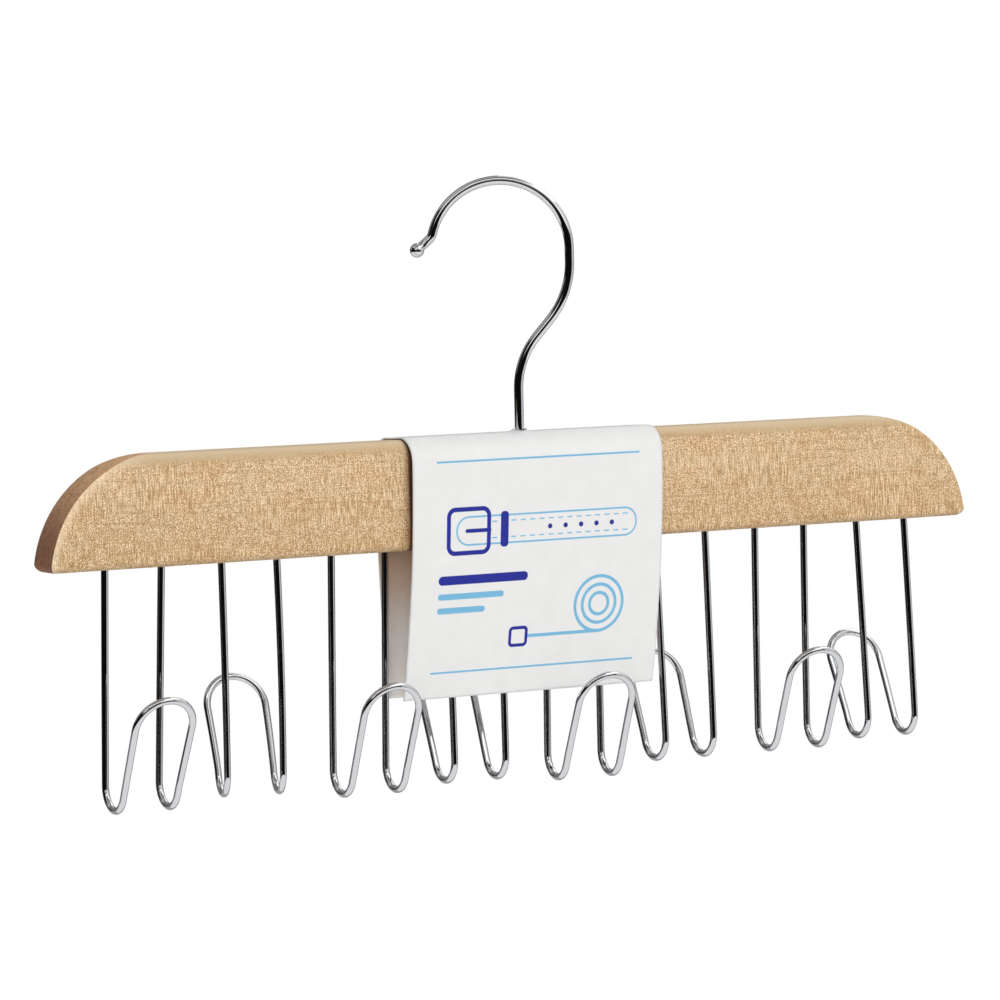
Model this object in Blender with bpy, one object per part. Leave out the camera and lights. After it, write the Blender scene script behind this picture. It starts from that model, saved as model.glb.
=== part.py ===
"""Belt hanger: a rounded wooden bar on a swivelling wire hook, with eight wire belt hooks.

Units are metres, +Z is up, +X runs along the bar and -Y is its front. The origin is the point
inside the swivel hook where a wardrobe rail bears, straight above the shank. Pieces are drawn
with the middle of the bar's underside at zero and then hung below the origin.
"""

import math
from typing import NamedTuple

import bmesh
import bpy
from mathutils import Matrix, Vector

# Space left between pieces that touch on the real hanger
FIT_GAP = 0.0003
# How far a cutter runs past the surface that it cuts
CUT_MARGIN = 0.005

# Wooden bar
BAR_LENGTH = 0.350
BAR_HEIGHT = 0.0364
BAR_THICKNESS = 0.0133
TOP_ROUNDING = 0.0055
BOTTOM_ROUNDING = 0.0030
END_ARC_RADIUS = 0.0395
END_TIP_RADIUS = 0.0025

# Swivel hook, bent from one wire and listed from the shank up to the tip
SWIVEL_WIRE_DIAMETER = 0.0031
SWIVEL_TURN = math.radians(-30.0)
SHANK_EXPOSED = 0.0146
NECK_BEND_RADIUS = 0.027
NECK_BEND = math.radians(40.0)
NECK_STRAIGHT = 0.0070
SIDE_BEND_RADIUS = 0.030
SIDE_STRAIGHT = 0.0044
RING_RADIUS = 0.0230
RING_BEND = math.radians(165.5)
TIP_BEND_RADIUS = 0.0040
TIP_BEND = math.radians(35.0)
TIP_STRAIGHT = 0.0051
TIP_BALL_DIAMETER = 0.0048

# Washer and nut that hold the shank in the underside of the bar
WASHER_DIAMETER = 0.0070
WASHER_THICKNESS = 0.0008
NUT_ACROSS_FLATS = 0.0055
NUT_HEIGHT = 0.0024
SHANK_PAST_NUT = 0.0006
SHANK_RECESS = 0.0006
COUNTERBORE_CLEARANCE = 0.0004

# Belt hooks, each one wire with two legs, two throats and an arch
BELT_WIRE_DIAMETER = 0.0024
HOOK_PITCH = 0.0412
LEG_SPACING = 0.0200
ARCH_SPACING = 0.0197
LEG_LEAN = math.radians(3.4)
LEG_INSERTION = 0.0160
HOOK_DROP = 0.0768
THROAT_RADIUS = 0.0072
END_MARGIN = 0.0150

# How each belt hook was bent and driven in by hand, from the left. The seating is how much
# lower than HOOK_DROP it hangs, the rise is its arch's height above its throats, the spread is
# the slope of its rising wires away from upright, and the twist is the turn of its throats and
# arch about upright, seen from above. The shift is how far its legs stand to the right of their
# even place, the sway is how much further its throats do, and the gap is from throat to throat.
FRONT_SEATINGS = (0.0, 0.0013, 0.0022, -0.0010)
FRONT_RISES = (0.0363, 0.0363, 0.0353, 0.0348)
FRONT_SPREAD_DEGREES = (25.7, 24.2, 24.8, 25.0)
FRONT_TWIST_DEGREES = (-1.8, -2.0, -4.6, -4.8)
FRONT_SHIFTS = (0.0006, -0.0003, -0.0014, -0.0008)
FRONT_SWAYS = (-0.0005, 0.0007, 0.0014, 0.0022)
FRONT_GAPS = (0.0188, 0.0193, 0.0200, 0.0191)
REAR_SEATINGS = (-0.0013, 0.0007, -0.0005, -0.0018)
REAR_RISES = (0.0362, 0.0353, 0.0346, 0.0341)
REAR_SPREAD_DEGREES = (18.6, 23.6, 21.0, 24.9)
REAR_TWIST_DEGREES = (-14.9, -2.8, -1.9, -4.2)
REAR_SHIFTS = (0.0009, 0.0018, 0.0002, -0.0003)
REAR_SWAYS = (-0.0007, -0.0013, -0.0002, 0.0010)
REAR_GAPS = (0.0184, 0.0190, 0.0188, 0.0187)

# Card sleeve, folded over the bar and threaded on the shank
CARD_THICKNESS = 0.00045
CARD_WIDTH = 0.0958
CARD_DROP = 0.0491
CARD_BULGE = 0.0032
CARD_SHOULDER = 0.0080
CARD_HOLE_CLEARANCE = 0.0017
# Sideways place of the card's middle at its rear edge, rear fold, front fold and front edge
CARD_REAR_OFFSETS = (-0.0012, -0.0017)
CARD_FRONT_OFFSETS = (0.0015, -0.0016)

# Steps along bends and round pieces
BEND_STEP = math.radians(20.0)
FINE_BEND_STEP = math.radians(10.0)
BORE_SIDES = 12
TURNED_SIDES = 24
ROUNDING_STEPS = 5
END_ARC_STEPS = 14
TIP_ARC_STEPS = 4
PANEL_STEPS = 7
BALL_STEPS = 9
LEG_STEPS = 6
NUT_SIDES = 6
SWIVEL_WIRE_RESOLUTION = 4
BELT_WIRE_RESOLUTION = 2

# Where the ball's last ring lies, from its pole
BALL_END_ANGLE = math.radians(12.0)
# Edges that turn by more than this are shaded sharp
SHARP_ANGLE = math.radians(35.0)
# Largest share of the bar's thickness that one rounding may take
ROUNDING_SHARE = 0.45

WOOD = ("beech_lacquered", "#D6B68A", 0.0, 0.55)
CHROME = ("chrome_plated_wire", "#D9DADB", 1.0, 0.12)
ZINC = ("zinc_plated_steel", "#B9BCBF", 1.0, 0.35)
CARD = ("coated_white_card", "#F1F1F2", 0.0, 0.45)


class Loop(NamedTuple):
    """The shape of one belt hook."""

    seating: float
    rise: float
    spread: float
    twist: float
    shift: float
    sway: float
    gap: float


class WirePath:
    """A wire bent in one plane, as a list of points, with the place and heading of its end."""

    def __init__(self, across, up):
        self.points = [Vector((across, up))]
        self.heading = math.pi / 2

    def end(self):
        """Return the last point."""
        return self.points[-1]

    def side(self, turn):
        """Return the unit vector from the wire to the centre of a bend that turns this way."""
        angle = self.heading + math.copysign(math.pi / 2, turn)
        return Vector((math.cos(angle), math.sin(angle)))

    def straight(self, length):
        """Run straight on."""
        self.points.append(self.end() + length * Vector((math.cos(self.heading), math.sin(self.heading))))

    def bend(self, radius, turn, step):
        """Bend by an angle, positive to the left, and return the centre of the bend."""
        centre = self.end() + radius * self.side(turn)
        arm = self.end() - centre
        count = max(2, math.ceil(abs(turn) / step))
        for index in range(1, count + 1):
            self.points.append(centre + Matrix.Rotation(turn * index / count, 2) @ arm)
        self.heading += turn
        return centre


def linear(hex_colour):
    """Return a linear colour for an sRGB hex value."""
    channels = [int(hex_colour[place:place + 2], 16) / 255 for place in (1, 3, 5)]
    return [c / 12.92 if c <= 0.04045 else ((c + 0.055) / 1.055) ** 2.4 for c in channels] + [1.0]


def material(finish):
    """Return the material of a finish, made once."""
    name, colour, metallic, roughness = finish
    found = bpy.data.materials.get(name)
    if found:
        return found
    made = bpy.data.materials.new(name)
    made.use_nodes = True
    shader = made.node_tree.nodes["Principled BSDF"]
    shader.inputs["Base Color"].default_value = linear(colour)
    shader.inputs["Metallic"].default_value = metallic
    shader.inputs["Roughness"].default_value = roughness
    made.diffuse_color = linear(colour)
    return made


def add_object(name, data, finish=None):
    """Link an object that hangs below the origin with the bar's underside at its own zero."""
    made = bpy.data.objects.new(name, data)
    bpy.context.scene.collection.objects.link(made)
    made.location.z = -rail_height()
    if finish:
        data.materials.append(material(finish))
    else:
        made.hide_render = True
        made.display_type = "WIRE"
    return made


def mesh_from(name, bm):
    """Turn a bmesh into a mesh with smooth round faces and sharp corners."""
    bmesh.ops.recalc_face_normals(bm, faces=bm.faces)
    mesh = bpy.data.meshes.new(name)
    bm.to_mesh(mesh)
    bm.free()
    mesh.shade_smooth()
    mesh.set_sharp_from_angle(angle=SHARP_ANGLE)
    return mesh


def add_cut(target, cutter, operation="DIFFERENCE"):
    """Cut an object with another one."""
    cut = target.modifiers.new(cutter.name, "BOOLEAN")
    cut.operation = operation
    cut.object = cutter


def add_wire(name, points, diameter, resolution, radii=None):
    """Make a round wire through points, whose thickness may follow a list of factors."""
    curve = bpy.data.curves.new(name, "CURVE")
    curve.dimensions = "3D"
    curve.bevel_depth = diameter / 2
    curve.bevel_resolution = resolution
    curve.use_fill_caps = True
    spline = curve.splines.new("POLY")
    spline.points.add(len(points) - 1)
    for index, (spot, point) in enumerate(zip(spline.points, points)):
        spot.co = (*point, 1.0)
        spot.radius = radii[index] if radii else 1.0
    return add_object(name, curve, CHROME)


def add_cylinder(bm, radius, low, high, sides, lean=0.0, across=0.0):
    """Add a round bar along Z between two heights, leaning about its crossing with z = 0."""
    shift = Matrix.Translation((0, 0, (low + high) / 2))
    place = Matrix.Translation((across, 0, 0)) @ Matrix.Rotation(lean, 4, "X") @ shift
    bmesh.ops.create_cone(bm, cap_ends=True, segments=sides, radius1=radius, radius2=radius,
                          depth=high - low, matrix=place)


def swivel_path():
    """Return the swivel hook's wire from its lower end to its tip, and the ring's centre."""
    path = WirePath(0.0, SHANK_RECESS)
    path.straight(BAR_HEIGHT + SHANK_EXPOSED - SHANK_RECESS)
    path.bend(NECK_BEND_RADIUS, -NECK_BEND, FINE_BEND_STEP)
    path.straight(NECK_STRAIGHT)
    path.bend(SIDE_BEND_RADIUS, NECK_BEND, FINE_BEND_STEP)
    path.straight(SIDE_STRAIGHT)
    centre = path.bend(RING_RADIUS, RING_BEND, FINE_BEND_STEP)
    path.bend(TIP_BEND_RADIUS, -TIP_BEND, FINE_BEND_STEP)
    return path, centre


def rail_height():
    """Return the height of the rail's bearing point above the bar's underside."""
    centre = swivel_path()[1]
    inner_radius = RING_RADIUS - SWIVEL_WIRE_DIAMETER / 2
    return centre.y + math.sqrt(inner_radius ** 2 - centre.x ** 2)


def add_swivel_hook():
    """Make the hook, whose tip is upset into a ball."""
    path = swivel_path()[0]
    radii = [1.0] * len(path.points)
    neck_end = path.end()
    along = Vector((math.cos(path.heading), math.sin(path.heading)))
    wire_radius = SWIVEL_WIRE_DIAMETER / 2
    ball_radius = TIP_BALL_DIAMETER / 2
    first = math.pi - math.asin(wire_radius / ball_radius)
    for index in range(BALL_STEPS + 1):
        angle = first + (BALL_END_ANGLE - first) * index / BALL_STEPS
        path.points.append(neck_end + (TIP_STRAIGHT + ball_radius * math.cos(angle)) * along)
        radii.append(ball_radius * math.sin(angle) / wire_radius)
    points = [(point.x, 0.0, point.y) for point in path.points]
    hook = add_wire("swivel_hook", points, SWIVEL_WIRE_DIAMETER, SWIVEL_WIRE_RESOLUTION, radii)
    hook.rotation_euler.z = SWIVEL_TURN


def side_loops(seatings, rises, spreads, twists, shifts, sways, gaps):
    """Return one side's loops from their values in metres and degrees."""
    spreads = [math.radians(angle) for angle in spreads]
    twists = [math.radians(angle) for angle in twists]
    return [Loop(*values) for values in zip(seatings, rises, spreads, twists, shifts, sways, gaps)]


def hook_sites():
    """Return the name, place along the bar, side and loop of each belt hook, from the left."""
    front = side_loops(FRONT_SEATINGS, FRONT_RISES, FRONT_SPREAD_DEGREES, FRONT_TWIST_DEGREES,
                       FRONT_SHIFTS, FRONT_SWAYS, FRONT_GAPS)
    rear = side_loops(REAR_SEATINGS, REAR_RISES, REAR_SPREAD_DEGREES, REAR_TWIST_DEGREES,
                      REAR_SHIFTS, REAR_SWAYS, REAR_GAPS)
    room = BAR_LENGTH - 2 * END_MARGIN - LEG_SPACING + HOOK_PITCH
    pairs = int(room // (2 * HOOK_PITCH))
    sites = []
    for index in range(2 * pairs):
        number = index // 2
        name, side, loops = ("front", -1, front) if index % 2 == 0 else ("rear", 1, rear)
        loop = loops[number % len(loops)]
        across = (index - pairs + 0.5) * HOOK_PITCH + loop.shift
        sites.append((f"belt_hook_{name}_{number + 1}", across, side, loop))
    return sites


def leg_profile(loop):
    """Return a belt hook's wire seen from the bar's end, from the leg's top to the arch's foot.

    The first coordinate runs out to the hook's own side, the second up from the underside.
    """
    throat_centre_up = THROAT_RADIUS - HOOK_DROP
    leg = (-throat_centre_up - THROAT_RADIUS * math.sin(LEG_LEAN)) / math.cos(LEG_LEAN)
    path = WirePath(LEG_INSERTION * math.sin(LEG_LEAN), LEG_INSERTION * math.cos(LEG_LEAN))
    path.heading = -math.pi / 2 - LEG_LEAN
    for part in (LEG_INSERTION, *[leg / LEG_STEPS] * LEG_STEPS):
        path.straight(part)
    path.bend(THROAT_RADIUS, math.pi - loop.spread + LEG_LEAN, BEND_STEP)
    climb = loop.rise - HOOK_DROP - path.end().y
    path.straight(climb / math.cos(loop.spread) - ARCH_SPACING / 2)
    return path


def hang_share(up):
    """Return 0 at the underside or above it, 1 at the throats or below them."""
    return min(1.0, max(0.0, -up / (HOOK_DROP - THROAT_RADIUS)))


def belt_hook_points(across, side, loop):
    """Return the points of one belt hook, from its left leg over the arch to its right leg."""
    path = leg_profile(loop)
    leg = []
    for out, up in path.points[:-1]:
        spacing = LEG_SPACING + (loop.gap - LEG_SPACING) * hang_share(up)
        leg.append(Vector((spacing / 2, out, up)))
    leg.append(Vector((ARCH_SPACING / 2, *path.end())))
    slope = Vector((0.0, math.cos(path.heading), math.sin(path.heading)))
    foot = Vector((0.0, *path.end()))
    count = math.ceil(math.pi / BEND_STEP)
    arch = []
    for index in range(1, count):
        angle = math.pi * index / count
        reach = math.sin(angle) * slope - math.cos(angle) * Vector((1, 0, 0))
        arch.append(foot + ARCH_SPACING / 2 * reach)
    left = [Vector((-point.x, point.y, point.z)) for point in leg]
    placed = []
    for point in left + arch + leg[::-1]:
        share = hang_share(point.z)
        turned = Matrix.Rotation(loop.twist * share, 2) @ Vector((point.x, side * point.y))
        placed.append((across + loop.sway * share + turned.x, turned.y, point.z - loop.seating))
    return placed


def add_belt_hooks():
    """Make every belt hook."""
    for name, across, side, loop in hook_sites():
        points = belt_hook_points(across, side, loop)
        add_wire(name, points, BELT_WIRE_DIAMETER, BELT_WIRE_RESOLUTION)


def end_outline():
    """Return half of the bar's side outline, from the top of the right-hand end arc down."""
    arc_up = BAR_HEIGHT - END_ARC_RADIUS
    reach = END_ARC_RADIUS - END_TIP_RADIUS
    tip_across = BAR_LENGTH / 2 - END_TIP_RADIUS
    arc_across = tip_across - math.sqrt(reach ** 2 - (END_TIP_RADIUS - arc_up) ** 2)
    meeting = math.asin((END_TIP_RADIUS - arc_up) / reach)
    outline = [(arc_across, BAR_HEIGHT + CUT_MARGIN)]
    for index in range(END_ARC_STEPS):
        angle = math.pi / 2 + (meeting - math.pi / 2) * index / END_ARC_STEPS
        outline.append((arc_across + END_ARC_RADIUS * math.cos(angle),
                        arc_up + END_ARC_RADIUS * math.sin(angle)))
    for index in range(TIP_ARC_STEPS + 1):
        angle = meeting + (-math.pi / 2 - meeting) * index / TIP_ARC_STEPS
        outline.append((tip_across + END_TIP_RADIUS * math.cos(angle),
                        END_TIP_RADIUS + END_TIP_RADIUS * math.sin(angle)))
    outline.append((tip_across, -CUT_MARGIN))
    return outline


def end_cutter():
    """Return the block that gives the bar its two round ends."""
    half = end_outline()
    outline = half + [(-across, up) for across, up in reversed(half)]
    bm = bmesh.new()
    depth = BAR_THICKNESS / 2 + CUT_MARGIN
    face = bm.faces.new([bm.verts.new((across, -depth, up)) for across, up in outline])
    grown = bmesh.ops.extrude_face_region(bm, geom=[face])["geom"]
    moved = [item for item in grown if isinstance(item, bmesh.types.BMVert)]
    bmesh.ops.translate(bm, verts=moved, vec=(0, 2 * depth, 0))
    return add_object("end_cutter", mesh_from("end_cutter", bm))


def counterbore_depth():
    """Return the depth of the hole that takes the washer, the nut and the shank's end."""
    return SHANK_RECESS + SHANK_PAST_NUT + NUT_HEIGHT + WASHER_THICKNESS + 2 * FIT_GAP


def bore_cutter():
    """Return the drill for the shank's bore and the blind bores of the belt hooks' legs."""
    bm = bmesh.new()
    shank_radius = SWIVEL_WIRE_DIAMETER / 2 + FIT_GAP
    add_cylinder(bm, shank_radius, -CUT_MARGIN, BAR_HEIGHT + CUT_MARGIN, BORE_SIDES)
    leg_radius = BELT_WIRE_DIAMETER / 2 + FIT_GAP
    highest = min(FRONT_SEATINGS + REAR_SEATINGS)
    depth = LEG_INSERTION - highest + FIT_GAP
    for _, across, side, loop in hook_sites():
        shift = Matrix.Translation((0, 0, -loop.seating))
        for leg in (-LEG_SPACING / 2, LEG_SPACING / 2):
            drill = bmesh.new()
            add_cylinder(drill, leg_radius, -CUT_MARGIN, depth + loop.seating, BORE_SIDES,
                         -side * LEG_LEAN, across + leg)
            bmesh.ops.transform(drill, matrix=shift, verts=drill.verts)
            scratch = bpy.data.meshes.new("drill")
            drill.to_mesh(scratch)
            drill.free()
            bm.from_mesh(scratch)
            bpy.data.meshes.remove(scratch)
    return add_object("bore_cutter", mesh_from("bore_cutter", bm))


def counterbore_cutter():
    """Return the wide drill at the shank's lower end."""
    bm = bmesh.new()
    radius = WASHER_DIAMETER / 2 + COUNTERBORE_CLEARANCE
    add_cylinder(bm, radius, -CUT_MARGIN, counterbore_depth(), TURNED_SIDES)
    return add_object("counterbore_cutter", mesh_from("counterbore_cutter", bm))


def add_wooden_bar():
    """Make the bar: a moulded length of wood with round ends and drilled underside."""
    bm = bmesh.new()
    size = (BAR_LENGTH + 2 * CUT_MARGIN, BAR_THICKNESS, BAR_HEIGHT, 1.0)
    middle = Matrix.Translation((0, 0, BAR_HEIGHT / 2))
    bmesh.ops.create_cube(bm, size=1.0, matrix=middle @ Matrix.Diagonal(size))
    for high, rounding in ((True, TOP_ROUNDING), (False, BOTTOM_ROUNDING)):
        edges = [edge for edge in bm.edges
                 if edge.calc_length() > BAR_LENGTH and (edge.verts[0].co.z > BAR_HEIGHT / 2) == high]
        radius = min(rounding, ROUNDING_SHARE * BAR_THICKNESS)
        bmesh.ops.bevel(bm, geom=edges, offset=radius, offset_type="OFFSET", segments=ROUNDING_STEPS,
                        profile=0.5, affect="EDGES", material=-1)
    bar = add_object("wooden_bar", mesh_from("wooden_bar", bm), WOOD)
    add_cut(bar, end_cutter(), "INTERSECT")
    add_cut(bar, bore_cutter())
    add_cut(bar, counterbore_cutter())


def add_hook_washer():
    """Make the washer under the wood at the shank's lower end."""
    bm = bmesh.new()
    inner = SWIVEL_WIRE_DIAMETER / 2 + FIT_GAP
    outer = WASHER_DIAMETER / 2
    high = counterbore_depth() - FIT_GAP
    low = high - WASHER_THICKNESS
    corners = ((inner, low), (outer, low), (outer, high), (inner, high))
    section = [bm.verts.new((across, 0, up)) for across, up in corners]
    rim = [bm.edges.new((section[index - 1], section[index])) for index in range(len(section))]
    bmesh.ops.spin(bm, geom=section + rim, axis=(0, 0, 1), cent=(0, 0, 0), angle=2 * math.pi,
                   steps=TURNED_SIDES, use_merge=True)
    add_object("hook_washer", mesh_from("hook_washer", bm), ZINC)


def add_hook_nut():
    """Make the hexagon nut on the shank's threaded end."""
    low = SHANK_RECESS + SHANK_PAST_NUT
    corner_radius = NUT_ACROSS_FLATS / 2 / math.cos(math.pi / NUT_SIDES)
    bm = bmesh.new()
    add_cylinder(bm, corner_radius, low, low + NUT_HEIGHT, NUT_SIDES)
    nut = add_object("hook_nut", mesh_from("hook_nut", bm), ZINC)
    nut.rotation_euler.z = SWIVEL_TURN
    bm = bmesh.new()
    radius = SWIVEL_WIRE_DIAMETER / 2 + FIT_GAP
    add_cylinder(bm, radius, low - CUT_MARGIN, low + NUT_HEIGHT + CUT_MARGIN, BORE_SIDES)
    add_cut(nut, add_object("nut_cutter", mesh_from("nut_cutter", bm)))


def covered_reach():
    """Return how far out the legs under the card stand at its lower edge."""
    turns = [abs(loop.twist) for _, across, _, loop in hook_sites() if abs(across) < CARD_WIDTH / 2]
    swing = LEG_SPACING / 2 * math.sin(max(turns) * hang_share(-CARD_DROP))
    return CARD_DROP * math.tan(LEG_LEAN) + swing + BELT_WIRE_DIAMETER / 2


def card_half_section():
    """Return the card's middle surface seen from the bar's end, from the top to its lower edge."""
    top = BAR_HEIGHT + FIT_GAP + CARD_THICKNESS / 2
    widest = BAR_THICKNESS / 2 + CARD_BULGE
    shoulder_up = top - CARD_SHOULDER
    section = []
    for index in range(ROUNDING_STEPS + 1):
        angle = math.pi / 2 * (1 - index / ROUNDING_STEPS)
        section.append((widest - CARD_SHOULDER + CARD_SHOULDER * math.cos(angle),
                        shoulder_up + CARD_SHOULDER * math.sin(angle)))
    edge = covered_reach() + FIT_GAP + CARD_THICKNESS / 2
    fall = shoulder_up + CARD_DROP
    draw_in = widest - edge
    radius = (fall ** 2 + draw_in ** 2) / (2 * draw_in)
    sweep = math.asin(fall / radius)
    for index in range(1, PANEL_STEPS + 1):
        angle = sweep * index / PANEL_STEPS
        section.append((widest - radius + radius * math.cos(angle), shoulder_up - radius * math.sin(angle)))
    return section


def add_card_sleeve():
    """Make the card: one folded sheet with a hole for the shank."""
    half = card_half_section()
    rear_edge, rear_fold = CARD_REAR_OFFSETS
    front_fold, front_edge = CARD_FRONT_OFFSETS
    rear = [(out, up, rear_edge, rear_fold) for out, up in reversed(half)]
    front = [(-out, up, front_edge, front_fold) for out, up in half]
    top = half[0][1]
    bm = bmesh.new()
    rows = []
    for out, up, edge_middle, fold_middle in rear + front:
        middle = fold_middle + (edge_middle - fold_middle) * ((top - up) / (top + CARD_DROP)) ** 2
        rows.append([bm.verts.new((middle + side * CARD_WIDTH / 2, out, up)) for side in (-1, 1)])
    for lower, upper in zip(rows, rows[1:]):
        bm.faces.new((lower[0], lower[1], upper[1], upper[0]))
    card = add_object("card_sleeve", mesh_from("card_sleeve", bm), CARD)
    wall = card.modifiers.new("wall", "SOLIDIFY")
    wall.thickness = CARD_THICKNESS
    wall.offset = 0.0
    wall.use_even_offset = True
    bm = bmesh.new()
    radius = SWIVEL_WIRE_DIAMETER / 2 + CARD_HOLE_CLEARANCE
    add_cylinder(bm, radius, BAR_HEIGHT - CUT_MARGIN / 2, BAR_HEIGHT + CUT_MARGIN, TURNED_SIDES)
    add_cut(card, add_object("card_cutter", mesh_from("card_cutter", bm)))


def main():
    """Clear the scene and build the hanger."""
    for old in list(bpy.data.objects):
        bpy.data.objects.remove(old, do_unlink=True)
    add_swivel_hook()
    add_hook_nut()
    add_hook_washer()
    add_wooden_bar()
    add_belt_hooks()
    add_card_sleeve()


main()
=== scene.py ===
"""Looks of the belt hanger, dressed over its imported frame.

Lengths are metres in the frame of the part: the origin is where the rail bears in the hook,
+X runs along the bar and -Y is its front. Heights named "up" are above the bar's underside.
"""

import logging
import math
from dataclasses import dataclass, field
from enum import Enum
from typing import Any, ClassVar, Iterable, NamedTuple

import bmesh
import bpy
from mathutils import Matrix, Vector, noise


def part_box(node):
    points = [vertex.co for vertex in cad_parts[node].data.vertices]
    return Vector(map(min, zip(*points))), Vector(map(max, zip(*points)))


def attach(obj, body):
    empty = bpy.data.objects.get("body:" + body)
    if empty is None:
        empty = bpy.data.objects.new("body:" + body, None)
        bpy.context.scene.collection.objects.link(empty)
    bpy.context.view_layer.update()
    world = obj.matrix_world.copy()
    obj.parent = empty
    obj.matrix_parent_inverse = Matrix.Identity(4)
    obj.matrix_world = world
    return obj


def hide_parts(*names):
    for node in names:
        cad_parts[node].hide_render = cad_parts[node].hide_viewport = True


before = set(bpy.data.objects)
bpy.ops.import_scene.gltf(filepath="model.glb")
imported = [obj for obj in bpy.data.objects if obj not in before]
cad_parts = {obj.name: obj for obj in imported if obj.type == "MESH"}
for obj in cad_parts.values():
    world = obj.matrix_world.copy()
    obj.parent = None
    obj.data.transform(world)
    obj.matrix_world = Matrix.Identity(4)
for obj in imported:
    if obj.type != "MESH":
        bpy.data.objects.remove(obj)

LOG = logging.getLogger("belt_hanger")
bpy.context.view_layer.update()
RAIL_HEIGHT = -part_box("wooden_bar")[0][2]
MM = 0.001
X_AXIS = Vector((1, 0, 0))
Z_AXIS = Vector((0, 0, 1))
# How far a cutting tool runs past the surface that it cuts
CUT_MARGIN = 0.005
# Gap between pieces that fit into each other
FIT_GAP = 0.0003
# A point this near a cutting plane lies on it
ON_PLANE = 1e-7
# Edges of a swept wire are shaded smooth up to this turn
WIRE_SHARP_DEGREES = 50.0
# Edges of a turned blank that turn by more than this are its rims
RIM_TURN = math.radians(60)
# More degrees than any angle, for a patch of the room without that limit
NO_LIMIT = 190.0

Tree = bpy.types.NodeTree
Socket = bpy.types.NodeSocket


class Side(Enum):
    """The side of the bar that something faces."""

    FRONT = -1
    REAR = 1


class Cut(Enum):
    """What a tool does to the piece that it meets."""

    TAKE_AWAY = "DIFFERENCE"
    KEEP_INSIDE = "INTERSECT"


class Ink(Enum):
    """The two inks of the card's print."""

    NAVY = "#20288F"
    SKY = "#74B4D6"


class Show(NamedTuple):
    """How a pattern shows: its value where it starts, its value where it is full, its share there."""

    start: float
    full: float
    amount: float


# Helpers for colours, nodes and meshes


def linear(hex_colour: str) -> tuple[float, float, float, float]:
    """Turn an sRGB hex value into a linear colour.

    Args:
        hex_colour: The colour as "#RRGGBB".

    Returns:
        The linear red, green, blue and alpha.
    """
    channels = [int(hex_colour[place:place + 2], 16) / 255 for place in (1, 3, 5)]
    values = [c / 12.92 if c <= 0.04045 else ((c + 0.055) / 1.055) ** 2.4 for c in channels]
    return values[0], values[1], values[2], 1.0


def clamped(share: float) -> float:
    """Keep a share between 0 and 1."""
    return min(1.0, max(0.0, share))


def feed(tree: Tree, node: bpy.types.Node, inputs: dict[str | int, Any]) -> None:
    """Give a node what goes into it.

    Args:
        tree: The node tree.
        node: The node.
        inputs: A value or a socket to link for each input, by name or place.
    """
    for key, value in inputs.items():
        if isinstance(value, Socket):
            tree.links.new(value, node.inputs[key])
        else:
            node.inputs[key].default_value = value


def add_node(tree: Tree, kind: str, settings: dict[str, Any] | None = None,
             inputs: dict[str | int, Any] | None = None) -> bpy.types.Node:
    """Add a node with its settings and links.

    Args:
        tree: The node tree to add to.
        kind: Blender's name of the node's type.
        settings: Values of the node's own properties.
        inputs: A value or a socket to link for each input, by name or place.

    Returns:
        The new node.
    """
    node = tree.nodes.new(kind)
    for name, value in (settings or {}).items():
        setattr(node, name, value)
    feed(tree, node, inputs or {})
    return node


def new_material(name: str) -> tuple[bpy.types.Material, Tree, bpy.types.Node]:
    """Start a material.

    Args:
        name: The material's name.

    Returns:
        The material, its node tree and its Principled shader.
    """
    made = bpy.data.materials.new(name)
    made.use_nodes = True
    return made, made.node_tree, made.node_tree.nodes["Principled BSDF"]


def placed(name: str, data: Any) -> bpy.types.Object:
    """Put an object into the scene.

    Args:
        name: The object's name.
        data: Its mesh, lamp or camera.

    Returns:
        The object.
    """
    made = bpy.data.objects.new(name, data)
    bpy.context.scene.collection.objects.link(made)
    return made


def finish_mesh(name: str, bm: bmesh.types.BMesh, sharp_degrees: float = 30.0) -> bpy.types.Mesh:
    """Turn a bmesh into a smooth mesh whose sharp corners stay sharp.

    Args:
        name: The mesh's name.
        bm: The bmesh, which is freed.
        sharp_degrees: Edges that turn by more than this are shaded sharp.

    Returns:
        The mesh.
    """
    bmesh.ops.recalc_face_normals(bm, faces=bm.faces)
    mesh = bpy.data.meshes.new(name)
    bm.to_mesh(mesh)
    bm.free()
    mesh.shade_smooth()
    mesh.set_sharp_from_angle(angle=math.radians(sharp_degrees))
    return mesh


def applied(mesh: bpy.types.Mesh, modifiers: Iterable[tuple[str, dict[str, Any]]]) -> bpy.types.Mesh:
    """Apply modifiers to a mesh.

    Args:
        mesh: The mesh to change, which is removed.
        modifiers: The type and settings of each modifier.

    Returns:
        The mesh that they give.
    """
    name = mesh.name
    bench = placed("bench", mesh)
    for kind, settings in modifiers:
        modifier = bench.modifiers.new(kind.lower(), kind)
        for key, value in settings.items():
            setattr(modifier, key, value)
    ready = bench.evaluated_get(bpy.context.evaluated_depsgraph_get())
    made = bpy.data.meshes.new_from_object(ready)
    bpy.data.objects.remove(bench)
    bpy.data.meshes.remove(mesh)
    made.name = name
    return made


def machined(mesh: bpy.types.Mesh, tools: Iterable[tuple[bpy.types.Mesh, Cut]]) -> bpy.types.Mesh:
    """Cut a mesh with others.

    Args:
        mesh: The mesh to cut, which is removed.
        tools: Each tool, which is removed too, and what it does.

    Returns:
        The mesh that is left.
    """
    held = []
    modifiers = []
    for tool, cut in tools:
        held.append(placed("tool", tool))
        modifiers.append(("BOOLEAN", {"object": held[-1], "operation": cut.value, "solver": "EXACT"}))
    made = applied(mesh, modifiers)
    for tool in held:
        data = tool.data
        bpy.data.objects.remove(tool)
        bpy.data.meshes.remove(data)
    return made


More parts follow.
